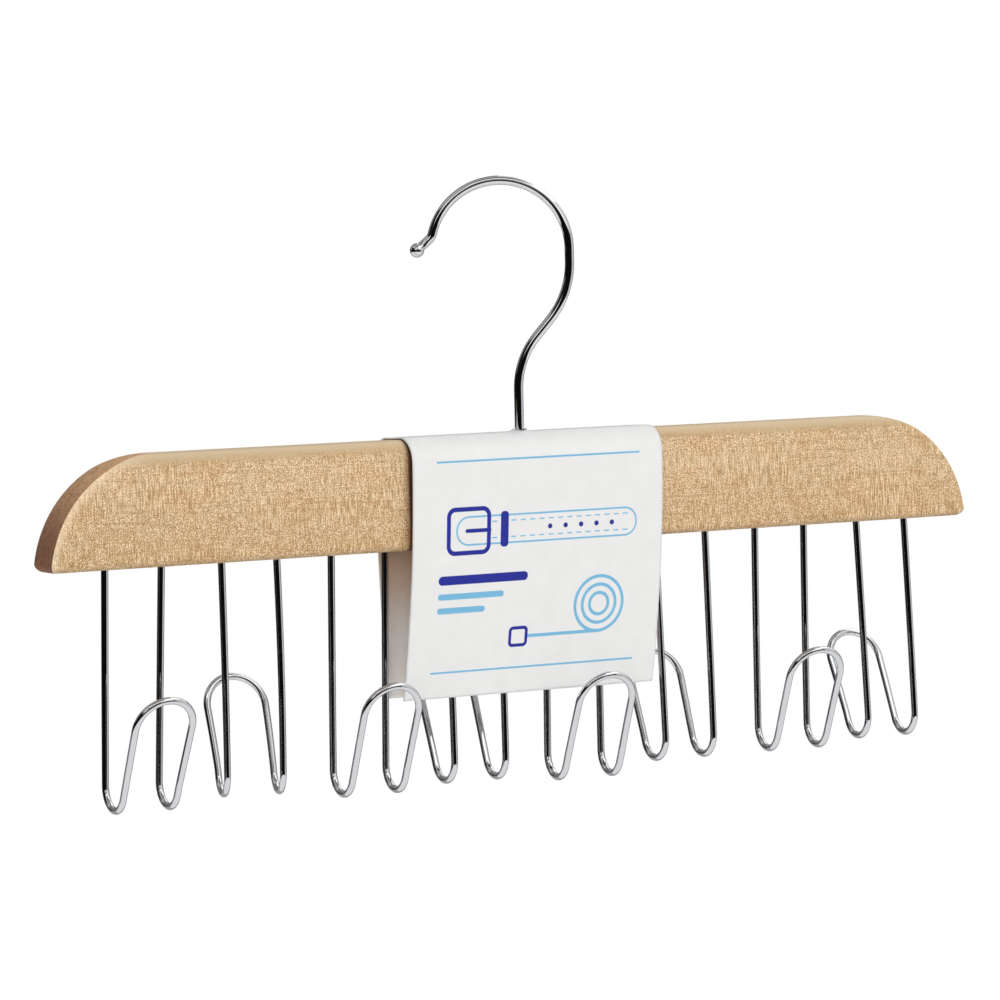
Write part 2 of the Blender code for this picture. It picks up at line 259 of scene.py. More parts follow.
def add_piece(name: str, mesh: bpy.types.Mesh, body: str, slot: str, *nodes: str) -> bpy.types.Object:
    """Add a finished piece that rides on a body in place of CAD nodes.

    Args:
        name: The piece's name.
        mesh: Its mesh, in place and with its materials.
        body: The body that it moves with.
        slot: The record's material slot; not used.
        nodes: The CAD nodes that it stands for.

    Returns:
        The piece.
    """
    piece = placed(name, mesh)
    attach(piece, body)
    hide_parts(*nodes)
    LOG.info("%s: %d faces on %s", name, len(mesh.polygons), body)
    return piece


def drop(bm: bmesh.types.BMesh) -> None:
    """Hang a bmesh that was drawn from the bar's underside at its place below the rail."""
    bmesh.ops.translate(bm, verts=bm.verts, vec=(0, 0, -RAIL_HEIGHT))


def round_bar(bm: bmesh.types.BMesh, radius: float, low: float, high: float, sides: int,
              place: Matrix = Matrix.Identity(4)) -> None:
    """Add a round bar along Z.

    Args:
        bm: The bmesh to add to.
        radius: The bar's radius.
        low: The height of its lower end.
        high: The height of its upper end.
        sides: How many sides it has.
        place: A further placing.
    """
    middle = Matrix.Translation((0, 0, (low + high) / 2))
    bmesh.ops.create_cone(bm, cap_ends=True, segments=sides, radius1=radius, radius2=radius,
                          depth=high - low, matrix=place @ middle)


class WireBender:
    """Sweeps a round section along straights and bends, as a wire former does."""

    def __init__(self, start: Vector, heading: Vector, radius: float, sides: int) -> None:
        """Put down the wire's first end.

        Args:
            start: The middle of the first end.
            heading: The way that the wire runs.
            radius: The wire's radius.
            sides: How many sides its section has.
        """
        self.bm = bmesh.new()
        self.at = Vector(start)
        self.heading = Vector(heading).normalized()
        turn = self.heading.to_track_quat("Z", "Y").to_matrix().to_4x4()
        disc = bmesh.ops.create_circle(self.bm, cap_ends=True, segments=sides, radius=radius,
                                       matrix=Matrix.Translation(self.at) @ turn)["verts"]
        # Each edge once, in an order that is the same each run
        self.rim = list(dict.fromkeys(edge for vert in disc for edge in vert.link_edges))

    def straight(self, length: float, scale: float = 1.0) -> None:
        """Run straight on.

        Args:
            length: How far.
            scale: The new end's radius as a share of the last one's.
        """
        grown = bmesh.ops.extrude_edge_only(self.bm, edges=self.rim)["geom"]
        verts = [item for item in grown if isinstance(item, bmesh.types.BMVert)]
        bmesh.ops.translate(self.bm, verts=verts, vec=self.heading * length)
        self.at = self.at + self.heading * length
        bmesh.ops.scale(self.bm, verts=verts, vec=(scale,) * 3, space=Matrix.Translation(-self.at))
        fresh = set(verts)
        self.rim = [item for item in grown
                    if isinstance(item, bmesh.types.BMEdge) and fresh.issuperset(item.verts)]

    def straights(self, length: float, steps: int) -> None:
        """Run straight on in even steps, whose sections can be moved later."""
        for _ in range(steps):
            self.straight(length / steps)

    def bend(self, radius: float, angle: float, axis: Vector, step_degrees: float = 5.0) -> None:
        """Bend about an axis that is square to the wire.

        Args:
            radius: The bend's radius at the wire's middle.
            angle: How far it turns.
            axis: The way that the bend's axis points.
            step_degrees: The turn between two sections.
        """
        axis = Vector(axis).normalized()
        centre = self.at + math.copysign(radius, angle) * axis.cross(self.heading)
        steps = max(2, math.ceil(abs(angle) / math.radians(step_degrees)))
        made = bmesh.ops.spin(self.bm, geom=self.rim, cent=centre, axis=axis, angle=angle,
                              steps=steps, use_merge=False)["geom_last"]
        self.rim = [item for item in made if isinstance(item, bmesh.types.BMEdge)]
        turn = Matrix.Rotation(angle, 3, axis)
        self.at = centre + turn @ (self.at - centre)
        self.heading = turn @ self.heading

    def close(self) -> bmesh.types.BMesh:
        """Cap the last end and return the wire."""
        bmesh.ops.edgeloop_fill(self.bm, edges=self.rim)
        return self.bm


# Finishes


@dataclass(frozen=True)
class LacqueredBeech:
    """Planed beech under a thin matt lacquer.

    Beech shows short pale and dark rays across its grain, which read as a fine upright
    streak on the face, over a tan ground with pinkish patches and faint lines along the bar.
    The moulded top is sanded smoother and greyer, and shows less of it.
    """

    ground: str = "#CDAF83"
    pale_ray: str = "#FFEBCA"
    dark_ray: str = "#7E592C"
    patch: str = "#CB9C6C"
    line: str = "#AD8254"
    # Warmer tone of the face's foot
    foot: str = "#BE9664"
    moulded: str = "#B69A72"
    # Painted shadow: dark red-brown colour laid on the wood in the gap under the card's left and right
    # edges, where shade falls
    shaded: str = "#4A1C10"
    # Size of one ray along the bar, through it and up it. A real ray is finer than this, and
    # would vanish at the render's size.
    ray_size: Vector = field(default_factory=lambda: Vector((0.28, 3.0, 4.2)) * MM)
    # Size of one speck between the rays
    speck_size: Vector = field(default_factory=lambda: Vector((0.28, 0.60, 0.36)) * MM)
    # Length of one grain line along the bar, and its distance from the next through and up it
    line_size: Vector = field(default_factory=lambda: Vector((110.0, 8.0, 3.4)) * MM)
    patch_size: Vector = field(default_factory=lambda: Vector((13.0, 13.0, 9.0)) * MM)
    # Size of the zones in which the rays show more or less
    zone_size: Vector = field(default_factory=lambda: Vector((30.0, 14.0, 9.0)) * MM)
    # The zones' noise from fewest to most specks, and the specks' share at both
    zone_limits: tuple[float, float] = (0.38, 0.62)
    speck_shares: tuple[float, float] = (0.48, 0.80)
    # How far the specks and the zones are moved, in spots, so that they don't repeat the rays
    speck_shift: float = 7.3
    zone_shift: float = 3.1
    # How strong the finer parts of every pattern are
    grain_roughness: float = 0.6
    patch_show: Show = Show(0.42, 0.66, 0.70)
    pale_show: Show = Show(0.50, 0.64, 0.68)
    dark_show: Show = Show(0.50, 0.36, 0.66)
    line_show: Show = Show(0.0, 1.0, 0.42)
    # Half a grain line's width, in the value of the noise that it follows
    line_half_width: float = 0.013
    # Height above the underside where the foot's tone begins, and its share at the underside
    foot_up: float = 0.026
    foot_amount: float = 0.68
    # Heights above the underside between which the rays fade out, and how far they do
    moulded_up: tuple[float, float] = (0.0305, 0.0350)
    moulded_amount: float = 0.85
    # Middle of the left end's arc, out from the bar's middle and up from its underside, and its radius
    left_arc: tuple[float, float] = (0.1359, -0.0031)
    left_radius: float = 0.0395
    # Width of the painted highlight along that arc, and how pale it is
    left_highlight_width: float = 0.0040
    left_highlight_amount: float = 0.38
    # Where the painted shadow in the gap starts, out from the bar's middle, how far it fades and how dark
    # it is
    shaded_out: float = 0.0456
    shaded_fade: float = 0.0013
    shaded_amount: float = 0.95
    roughness: float = 0.52
    specular: float = 0.35
    # Strength and depth of the rays' relief under the lacquer
    relief: float = 0.3
    relief_depth: float = 0.02 * MM

    def material(self) -> bpy.types.Material:
        """Make the face's material.

        Returns:
            The material.
        """
        made, tree, shader = new_material("beech_matt_lacquer")
        place = add_node(tree, "ShaderNodeTexCoord").outputs["Object"]
        parts = add_node(tree, "ShaderNodeSeparateXYZ", None, {0: place}).outputs
        rays = self.grain(tree, place, self.ray_size, 0.0)
        toned = self.toned(tree, place, parts["Z"])
        figured = self.figured(tree, place, rays, toned)
        colour = self.worked(tree, place, parts, figured)
        relief = add_node(tree, "ShaderNodeBump", None,
                          {"Strength": self.relief, "Distance": self.relief_depth, "Height": rays})
        feed(tree, shader, {"Base Color": colour, "Normal": relief.outputs["Normal"],
                            "Roughness": self.roughness, "Specular IOR Level": self.specular})
        return made

    def toned(self, tree: Tree, place: Socket, height: Socket) -> Socket:
        """Return the wood's tone without its rays: the ground, its patches and the warmer foot.

        Args:
            tree: The node tree.
            place: The coordinates.
            height: Their Z.

        Returns:
            The colour's socket.
        """
        patches = self.grain(tree, place, self.patch_size, 2.0)
        patched = self.blend(tree, patches, self.patch_show, linear(self.ground), linear(self.patch))
        foot_show = Show(self.foot_up - RAIL_HEIGHT, -RAIL_HEIGHT, self.foot_amount)
        return self.blend(tree, height, foot_show, patched, linear(self.foot))

    def figured(self, tree: Tree, place: Socket, rays: Socket, toned: Socket) -> Socket:
        """Return the tone with rays, specks and grain lines over it.

        Args:
            tree: The node tree.
            place: The coordinates.
            rays: The rays' noise.
            toned: The colour under them.

        Returns:
            The colour's socket.
        """
        specks = self.grain(tree, place, self.speck_size, 0.0, self.speck_shift)
        zones = self.grain(tree, place, self.zone_size, 1.0, self.zone_shift)
        share = add_node(tree, "ShaderNodeMapRange", None,
                         {"Value": zones, "From Min": self.zone_limits[0],
                          "From Max": self.zone_limits[1], "To Min": self.speck_shares[0],
                          "To Max": self.speck_shares[1]}).outputs[0]
        figure = add_node(tree, "ShaderNodeMix", None, {0: share, 2: rays, 3: specks}).outputs[0]
        colour = self.blend(tree, figure, self.pale_show, toned, linear(self.pale_ray))
        colour = self.blend(tree, figure, self.dark_show, colour, linear(self.dark_ray))
        waves = self.grain(tree, place, self.line_size, 2.0)
        # Thin lines run where the waves pass their middle value
        lines = add_node(tree, "ShaderNodeMath", {"operation": "COMPARE"},
                         {0: waves, 1: 0.5, 2: self.line_half_width}).outputs[0]
        return self.blend(tree, lines, self.line_show, colour, linear(self.line))

    def worked(self, tree: Tree, place: Socket, parts: Any, figured: Socket) -> Socket:
        """Return the figured wood with its moulded top, a painted highlight along its left edge and a
        painted shadow in the gap under the card.

        Args:
            tree: The node tree.
            place: The coordinates.
            parts: Their X, Y and Z.
            figured: The colour of the face.

        Returns:
            The colour's socket.
        """
        low, high = (up - RAIL_HEIGHT for up in self.moulded_up)
        colour = self.blend(tree, parts["Z"], Show(low, high, self.moulded_amount), figured,
                            linear(self.moulded))
        # Painted highlight along the left end's edge
        highlight_show = Show(self.left_radius - self.left_highlight_width, self.left_radius, self.left_highlight_amount)
        colour = self.blend(tree, self.from_left_arc(tree, place), highlight_show, colour,
                            linear(self.pale_ray))
        # Painted shadow in the gap under the card's edges
        out = add_node(tree, "ShaderNodeMath", {"operation": "ABSOLUTE"}, {0: parts["X"]}).outputs[0]
        gap_show = Show(self.shaded_out + self.shaded_fade, self.shaded_out, self.shaded_amount)
        return self.blend(tree, out, gap_show, colour, linear(self.shaded))

    def from_left_arc(self, tree: Tree, place: Socket) -> Socket:
        """Return how far a point is from the middle of the left end's arc, along whose edge a painted
        highlight lies.

        Args:
            tree: The node tree.
            place: The coordinates.

        Returns:
            The distance's socket.
        """
        middle = (-self.left_arc[0], 0.0, self.left_arc[1] - RAIL_HEIGHT)
        offset = add_node(tree, "ShaderNodeVectorMath", {"operation": "SUBTRACT"}, {0: place, 1: middle})
        beyond = add_node(tree, "ShaderNodeVectorMath", {"operation": "MULTIPLY"},
                          {0: offset.outputs[0], 1: (1, 0, 1)})
        # Only what lies left of the middle counts
        left = add_node(tree, "ShaderNodeVectorMath", {"operation": "MINIMUM"},
                        {0: beyond.outputs[0], 1: (0, 0, 1)}).outputs[0]
        return add_node(tree, "ShaderNodeVectorMath", {"operation": "LENGTH"}, {0: left}).outputs["Value"]

    def grain(self, tree: Tree, place: Socket, size: Vector,
              detail: float, shift: float = 0.0) -> Socket:
        """Return noise whose spots have a real size.

        Args:
            tree: The node tree.
            place: The coordinates.
            size: One spot's size along X, Y and Z.
            detail: How much finer noise is in it.
            shift: Moves the pattern, in spots.

        Returns:
            The noise's socket, from 0 to 1.
        """
        scale = Vector([1 / extent for extent in size])
        mapped = add_node(tree, "ShaderNodeMapping", None,
                          {"Vector": place, "Scale": scale, "Location": (shift, shift, shift)})
        return add_node(tree, "ShaderNodeTexNoise", None,
                        {"Vector": mapped.outputs[0], "Scale": 1.0, "Detail": detail,
                         "Roughness": self.grain_roughness}).outputs["Fac"]

    def blend(self, tree: Tree, pattern: Socket, show: Show, under: Any, over: Any) -> Socket:
        """Lay a colour over another where a pattern is strong.

        Args:
            tree: The node tree.
            pattern: The pattern's socket.
            show: How the upper colour shows.
            under: The lower colour, or its socket.
            over: The upper colour, or its socket.

        Returns:
            The blended colour's socket.
        """
        share = add_node(tree, "ShaderNodeMapRange", {"interpolation_type": "SMOOTHSTEP"},
                         {"Value": pattern, "From Min": show.start, "From Max": show.full,
                          "To Min": 0.0, "To Max": show.amount})
        return add_node(tree, "ShaderNodeMix", {"data_type": "RGBA"},
                        {0: share.outputs[0], 6: under, 7: over}).outputs[2]


@dataclass(frozen=True)
class SawnBeechEnd(LacqueredBeech):
    """The sanded ends of the bar, darkened by open pores that drink the lacquer, with painted shade that
    darkens them further downwards.
    """

    upper: str = "#DDB083"
    lower: str = "#8A6048"
    ring: str = "#A87650"
    pore: str = "#4E3226"
    # Heights above the underside where the end is fully pale and fully in its painted shade
    pale_up: float = 0.038
    dark_up: float = 0.006
    # Size of one cloud, which sways those heights, and how far it does
    cloud_size: Vector = field(default_factory=lambda: Vector((5.0, 5.0, 5.0)) * MM)
    cloud_sway: float = 8 * MM
    ring_size: Vector = field(default_factory=lambda: Vector((3.0, 0.9, 6.0)) * MM)
    ring_show: Show = Show(0.52, 0.68, 0.55)
    # Size of one cluster of pores. A single pore is finer than this, and would vanish.
    pore_size: Vector = field(default_factory=lambda: Vector((0.9, 0.9, 0.9)) * MM)
    pore_shift: float = 5.7
    pore_show: Show = Show(0.48, 0.70, 0.55)
    roughness: float = 0.60
    specular: float = 0.30
    # Worn spots of the sanded edges
    wear_size: Vector = field(default_factory=lambda: Vector((1.4, 1.4, 1.4)) * MM)
    wear_show: Show = Show(0.40, 0.65, 0.60)
    edge_roughness: float = 0.38

    def material(self) -> bpy.types.Material:
        """Make the ends' material.

        Returns:
            The material.
        """
        made, tree, shader = new_material("beech_end_grain")
        place = add_node(tree, "ShaderNodeTexCoord").outputs["Object"]
        height = add_node(tree, "ShaderNodeSeparateXYZ", None, {0: place}).outputs["Z"]
        # Painted shade: the end fades from its pale upper colour down to its dark lower one, swayed by
        # clouds
        cloud = self.grain(tree, place, self.cloud_size, 2.0)
        swayed = add_node(tree, "ShaderNodeMath", {"operation": "MULTIPLY_ADD"},
                          {0: cloud, 1: self.cloud_sway, 2: height}).outputs[0]
        lift = self.cloud_sway / 2 - RAIL_HEIGHT
        colour = self.blend(tree, swayed, Show(self.pale_up + lift, self.dark_up + lift, 1.0),
                            linear(self.upper), linear(self.lower))
        rings = self.grain(tree, place, self.ring_size, 2.0)
        colour = self.blend(tree, rings, self.ring_show, colour, linear(self.ring))
        pores = self.grain(tree, place, self.pore_size, 2.0, self.pore_shift)
        colour = self.blend(tree, pores, self.pore_show, colour, linear(self.pore))
        feed(tree, shader, {"Base Color": colour, "Roughness": self.roughness,
                            "Specular IOR Level": self.specular})
        return made

    def edge_highlight_material(self) -> bpy.types.Material:
        """Make the material of the ends' sanded edges, glossier than the face, whose pale colour is a
        painted highlight.

        Returns:
            The material.
        """
        made, tree, shader = new_material("beech_edge_painted_highlight")
        place = add_node(tree, "ShaderNodeTexCoord").outputs["Object"]
        wear = self.grain(tree, place, self.wear_size, 1.0)
        # Painted highlight: pale, broken by worn spots of the wood's ground colour
        colour = self.blend(tree, wear, self.wear_show, linear(self.pale_ray), linear(self.ground))
        feed(tree, shader, {"Base Color": colour, "Roughness": self.edge_roughness})
        return made


@dataclass(frozen=True)
class BrightChrome:
    """Chrome plated on drawn steel wire: a mirror with faint clouds of haze."""

    name: str = "chrome_plated_wire"
    colour: str = "#DFE0E3"
    gloss: float = 0.035
    haze: float = 0.08
    # Size of one cloud, and the noise where the haze starts and is full
    haze_size: float = 2.2 * MM
    haze_limits: tuple[float, float] = (0.45, 0.75)
    # Strength and depth of the plating's relief
    relief: float = 0.02
    relief_depth: float = 0.02 * MM

    def material(self) -> bpy.types.Material:
        """Make the wire's material.

        Returns:
            The material.
        """
        made, tree, shader = new_material(self.name)
        place = add_node(tree, "ShaderNodeTexCoord").outputs["Object"]
        cloud = add_node(tree, "ShaderNodeTexNoise", None,
                         {"Vector": place, "Scale": 1 / self.haze_size, "Detail": 1.0}).outputs["Fac"]
        haze = add_node(tree, "ShaderNodeMapRange", None,
                        {"Value": cloud, "From Min": self.haze_limits[0],
                         "From Max": self.haze_limits[1], "To Min": self.gloss, "To Max": self.haze})
        relief = add_node(tree, "ShaderNodeBump", None,
                          {"Strength": self.relief, "Distance": self.relief_depth, "Height": cloud})
        feed(tree, shader, {"Base Color": linear(self.colour), "Metallic": 1.0,
                            "Roughness": haze.outputs[0], "Normal": relief.outputs["Normal"]})
        return made


@dataclass(frozen=True)
class ZincPlate:
    """Zinc plated on turned steel: dull, bluish and a little cloudy."""

    light: str = "#C3C7CB"
    dark: str = "#9BA1A6"
    gloss: float = 0.28
    haze: float = 0.50
    cloud_size: float = 1.1 * MM

    def material(self) -> bpy.types.Material:
        """Make the fasteners' material.

        Returns:
            The material.
        """
        made, tree, shader = new_material("zinc_plated_steel")
        place = add_node(tree, "ShaderNodeTexCoord").outputs["Object"]
        cloud = add_node(tree, "ShaderNodeTexNoise", None,
                         {"Vector": place, "Scale": 1 / self.cloud_size, "Detail": 4.0}).outputs["Fac"]
        colour = add_node(tree, "ShaderNodeMix", {"data_type": "RGBA"},
                          {0: cloud, 6: linear(self.light), 7: linear(self.dark)}).outputs[2]
        rough = add_node(tree, "ShaderNodeMapRange", None,
                         {"Value": cloud, "To Min": self.gloss, "To Max": self.haze}).outputs[0]
        feed(tree, shader, {"Base Color": colour, "Roughness": rough, "Metallic": 1.0})
        return made


@dataclass(frozen=True)
class Mark:
    """One printed shape on the flat card, in millimetres from its lower left corner."""

    # Ink spreads a little, which softens each edge by this much on both sides
    SPREAD: ClassVar[float] = 0.05

    ink: Ink
    across: float
    up: float
    half_width: float
    half_height: float
    corner: float
    # Width of its line, or none for a filled shape
    line: float = 0.0
    # Distance between copies along the card, and how many stand on each side of the first
    pitch: float = 1.0
    copies: int = 0

    def coverage(self, tree: Tree, place: Socket) -> Socket:
        """Return how much of a point the shape covers.

        Args:
            tree: The node tree.
            place: The point on the card, in millimetres.

        Returns:
            A socket from 0, bare, to 1, inked.
        """
        offset = add_node(tree, "ShaderNodeVectorMath", {"operation": "SUBTRACT"},
                          {0: place, 1: (self.across, self.up, 0)}).outputs[0]
        if self.copies:
            offset = self.repeated(tree, offset)
        folded = add_node(tree, "ShaderNodeVectorMath", {"operation": "ABSOLUTE"}, {0: offset}).outputs[0]
        inner = (self.half_width - self.corner, self.half_height - self.corner, 0)
        beyond = add_node(tree, "ShaderNodeVectorMath", {"operation": "SUBTRACT"}, {0: folded, 1: inner})
        outside = add_node(tree, "ShaderNodeVectorMath", {"operation": "MAXIMUM"},
                           {0: beyond.outputs[0], 1: (0, 0, 0)}).outputs[0]
        length = add_node(tree, "ShaderNodeVectorMath", {"operation": "LENGTH"}, {0: outside})
        far = add_node(tree, "ShaderNodeMath", {"operation": "SUBTRACT"},
                       {0: length.outputs["Value"], 1: self.corner}).outputs[0]
        if self.line:
            far = add_node(tree, "ShaderNodeMath", {"operation": "ABSOLUTE"}, {0: far}).outputs[0]
        return add_node(tree, "ShaderNodeMapRange", None,
                        {"Value": far, "From Min": self.line / 2 - self.SPREAD,
                         "From Max": self.line / 2 + self.SPREAD, "To Min": 1.0, "To Max": 0.0}).outputs[0]

    def repeated(self, tree: Tree, offset: Socket) -> Socket:
        """Return the offset from the nearest copy.

        Args:
            tree: The node tree.
            offset: The offset from the first copy.

        Returns:
            The offset from the nearest one.
        """
        along = add_node(tree, "ShaderNodeSeparateXYZ", None, {0: offset}).outputs["X"]
        count = add_node(tree, "ShaderNodeMath", {"operation": "DIVIDE"},
                         {0: along, 1: self.pitch}).outputs[0]
        whole = add_node(tree, "ShaderNodeMath", {"operation": "ROUND"}, {0: count}).outputs[0]
        kept = add_node(tree, "ShaderNodeClamp", None,
                        {"Value": whole, "Min": -self.copies, "Max": self.copies}).outputs[0]
        step = add_node(tree, "ShaderNodeMath", {"operation": "MULTIPLY"},
                        {0: kept, 1: self.pitch}).outputs[0]
        shift = add_node(tree, "ShaderNodeCombineXYZ", None, {"X": step}).outputs[0]
        return add_node(tree, "ShaderNodeVectorMath", {"operation": "SUBTRACT"},
                        {0: offset, 1: shift}).outputs[0]


@dataclass(frozen=True)
class CoatedCard:
    """White coated card, offset printed: smooth, cool white and slightly glossy."""

    white: str = "#E7E7E6"
    shade: str = "#E1E0DF"
    fibre: str = "#D6D2CA"
    # The uncoated inside, with painted shade and a painted reflection of the wood's brown where it lies
    # near it
    painted_wood_bounce: str = "#E0BFA4"
    inner_white: str = "#FAF5F0"
    # Heights above the underside where the inside is fully in that painted shade and fully white
    painted_bounce_up: float = -0.002
    white_up: float = -0.030
    roughness: float = 0.42
    specular: float = 0.40
    mottle_size: float = 7.0 * MM
    fibre_size: float = 0.5 * MM
    fibre_show: Show = Show(0.60, 0.80, 0.25)
    # Strength and depth of the paper's tooth
    tooth: float = 0.12
    tooth_depth: float = 0.01 * MM

    def material(self, name: str, marks: Iterable[Mark] = (), inside: bool = False) -> bpy.types.Material:
        """Return a card material.

        Args:
            name: The material's name.
            marks: What is printed on it.
            inside: Whether it is the side that lies against the wood.

        Returns:
            The material, which reads the card's flat UV map in metres.
        """
        made, tree, shader = new_material(name)
        flat = add_node(tree, "ShaderNodeTexCoord").outputs["UV"]
        colour = self.inside(tree) if inside else self.paper(tree, flat)
        place = add_node(tree, "ShaderNodeVectorMath", {"operation": "SCALE"}, {0: flat, "Scale": 1 / MM})
        for mark in marks:
            inked = mark.coverage(tree, place.outputs[0])
            colour = add_node(tree, "ShaderNodeMix", {"data_type": "RGBA"},
                              {0: inked, 6: colour, 7: linear(mark.ink.value)}).outputs[2]
        grit = add_node(tree, "ShaderNodeTexNoise", {"noise_dimensions": "2D"},
                        {"Vector": flat, "Scale": 1 / self.fibre_size, "Detail": 3.0}).outputs["Fac"]
        relief = add_node(tree, "ShaderNodeBump", None,
                          {"Strength": self.tooth, "Distance": self.tooth_depth, "Height": grit})
        feed(tree, shader, {"Base Color": colour, "Normal": relief.outputs["Normal"],
                            "Roughness": self.roughness, "Specular IOR Level": self.specular})
        return made

    def paper(self, tree: Tree, flat: Socket) -> Socket:
        """Return the bare card's colour.

        Args:
            tree: The node tree.
            flat: The card's flat coordinates.

        Returns:
            The colour's socket.
        """
        mottle = add_node(tree, "ShaderNodeTexNoise", {"noise_dimensions": "2D"},
                          {"Vector": flat, "Scale": 1 / self.mottle_size, "Detail": 2.0}).outputs["Fac"]
        fibres = add_node(tree, "ShaderNodeTexNoise", {"noise_dimensions": "2D"},
                          {"Vector": flat, "Scale": 1 / self.fibre_size, "Detail": 4.0}).outputs["Fac"]
        cloudy = add_node(tree, "ShaderNodeMix", {"data_type": "RGBA"},
                          {0: mottle, 6: linear(self.white), 7: linear(self.shade)}).outputs[2]
        flecks = add_node(tree, "ShaderNodeMapRange", None,
                          {"Value": fibres, "From Min": self.fibre_show.start,
                           "From Max": self.fibre_show.full, "To Min": 0.0,
                           "To Max": self.fibre_show.amount})
        return add_node(tree, "ShaderNodeMix", {"data_type": "RGBA"},
                        {0: flecks.outputs[0], 6: cloudy, 7: linear(self.fibre)}).outputs[2]

    def inside(self, tree: Tree) -> Socket:
        """Return the inside's colour, which fades from a painted shade, tinted by the wood's reflected
        brown, to white downwards.

        Args:
            tree: The node tree.

        Returns:
            The colour's socket.
        """
        place = add_node(tree, "ShaderNodeTexCoord").outputs["Object"]
        height = add_node(tree, "ShaderNodeSeparateXYZ", None, {0: place}).outputs["Z"]
        fade = add_node(tree, "ShaderNodeMapRange", {"interpolation_type": "SMOOTHSTEP"},
                        {"Value": height, "From Min": self.painted_bounce_up - RAIL_HEIGHT,
                         "From Max": self.white_up - RAIL_HEIGHT}).outputs[0]
        return add_node(tree, "ShaderNodeMix", {"data_type": "RGBA"},
                        {0: fade, 6: linear(self.painted_wood_bounce), 7: linear(self.inner_white)}).outputs[2]


# Sub-assemblies


@dataclass
class WoodenBar:
    """The moulded, round-ended bar with its bores."""

    length: float = 0.350
    height: float = 0.0364
    thickness: float = 0.0133
    top_rounding: float = 0.0055
    bottom_rounding: float = 0.0030
    end_radius: float = 0.0395
    tip_radius: float = 0.0025
    rounding_segments: int = 14
    end_step_degrees: float = 2.5
    # The small tip's steps are this much coarser than the end arc's
    tip_coarseness: int = 4
    # Sanding takes this much off each end's edges, where they turn by more than this angle
    sanding: float = 0.0008
    sanded_turn: float = math.radians(25)
    sanding_segments: int = 3
    counterbore_radius: float = 0.0039
    counterbore_depth: float = 0.0050
    counterbore_sides: int = 48
    shank_bore_radius: float = 0.00185
    shank_bore_sides: int = 32

    def moulding(self) -> bmesh.types.BMesh:
        """Mould the length of wood, with its long edges rounded.

        Returns:
            The length of wood, longer than the bar.
        """
        bm = bmesh.new()
        size = Matrix.Diagonal((self.length + 2 * CUT_MARGIN, self.thickness, self.height, 1.0))
        bmesh.ops.create_cube(bm, size=1.0, matrix=Matrix.Translation((0, 0, self.height / 2)) @ size)
        for top, rounding in ((True, self.top_rounding), (False, self.bottom_rounding)):
            edges = [edge for edge in bm.edges if edge.calc_length() > self.length
                     and (edge.verts[0].co.z > self.height / 2) == top]
            bmesh.ops.bevel(bm, geom=edges, offset=rounding, offset_type="OFFSET",
                            segments=self.rounding_segments, profile=0.5, affect="EDGES", material=-1)
        return bm

    def end_cuts(self) -> list[tuple[float, float, float, float]]:
        """Work out the planes that shape the right end.

        Returns:
            Each plane's point and its normal, each across and up.
        """
        arc_up = self.height - self.end_radius
        reach = self.end_radius - self.tip_radius
        tip_across = self.length / 2 - self.tip_radius
        arc_across = tip_across - math.sqrt(reach ** 2 - (self.tip_radius - arc_up) ** 2)
        meeting = math.asin((self.tip_radius - arc_up) / reach)
        step = math.radians(self.end_step_degrees)
        cuts = []
        for centre, radius, start, end, coarser in (
                ((arc_across, arc_up), self.end_radius, math.pi / 2, meeting, 1),
                ((tip_across, self.tip_radius), self.tip_radius, meeting, -math.pi / 2,
                 self.tip_coarseness)):
            count = math.ceil((start - end) / (step * coarser))
            for index in range(count):
                angle = start + (end - start) * (index + 0.5) / count
                across, up = math.cos(angle), math.sin(angle)
                cuts.append((centre[0] + radius * across, centre[1] + radius * up, across, up))
        return cuts

    def round_ends(self, bm: bmesh.types.BMesh) -> None:
        """Cut both ends round and give them the second material.

        Args:
            bm: The moulded wood.
        """
        for side in (1, -1):
            for across, up, normal_across, normal_up in self.end_cuts():
                geometry = bm.verts[:] + bm.edges[:] + bm.faces[:]
                made = bmesh.ops.bisect_plane(bm, geom=geometry, dist=ON_PLANE, clear_outer=True,
                                              plane_co=(side * across, 0, up),
                                              plane_no=(side * normal_across, 0, normal_up))["geom_cut"]
                edges = [item for item in made if isinstance(item, bmesh.types.BMEdge)]
                for face in bmesh.ops.contextual_create(bm, geom=edges)["faces"]:
                    face.material_index = 1

    def sand(self, bm: bmesh.types.BMesh) -> None:
        """Soften the edges between the ends and the rest.

        Args:
            bm: The bar with its round ends.
        """
        edges = [edge for edge in bm.edges if len(edge.link_faces) == 2
                 and len({face.material_index for face in edge.link_faces}) == 2
                 and edge.calc_face_angle() > self.sanded_turn]
        # The bevelled edges take the third material, whose pale colour is a painted highlight
        bmesh.ops.bevel(bm, geom=edges, offset=self.sanding, offset_type="OFFSET",
                        segments=self.sanding_segments, profile=0.5, affect="EDGES", material=2,
                        clamp_overlap=True)

    def dress(self, hooks: list["BeltHook"], face: LacqueredBeech, end: SawnBeechEnd) -> None:
        """Make the bar.

        Args:
            hooks: The belt hooks whose legs need bores.
            face: The finish of its faces.
            end: The finish of its ends.
        """
        bm = self.moulding()
        self.round_ends(bm)
        self.sand(bm)
        drop(bm)
        drill = bmesh.new()
        round_bar(drill, self.shank_bore_radius, -CUT_MARGIN, self.height + CUT_MARGIN,
                  self.shank_bore_sides)
        for hook in hooks:
            hook.add_drills(drill)
        drop(drill)
        wide = bmesh.new()
        round_bar(wide, self.counterbore_radius, -CUT_MARGIN, self.counterbore_depth,
                  self.counterbore_sides)
        drop(wide)
        mesh = finish_mesh("beech_bar", bm)
        mesh.materials.append(face.material())
        mesh.materials.append(end.material())
        mesh.materials.append(end.edge_highlight_material())
        mesh = machined(mesh, [(finish_mesh("drill", drill), Cut.TAKE_AWAY),
                               (finish_mesh("wide_drill", wide), Cut.TAKE_AWAY)])
        add_piece("beech_bar", mesh, "bar", "bar_wood", "wooden_bar")


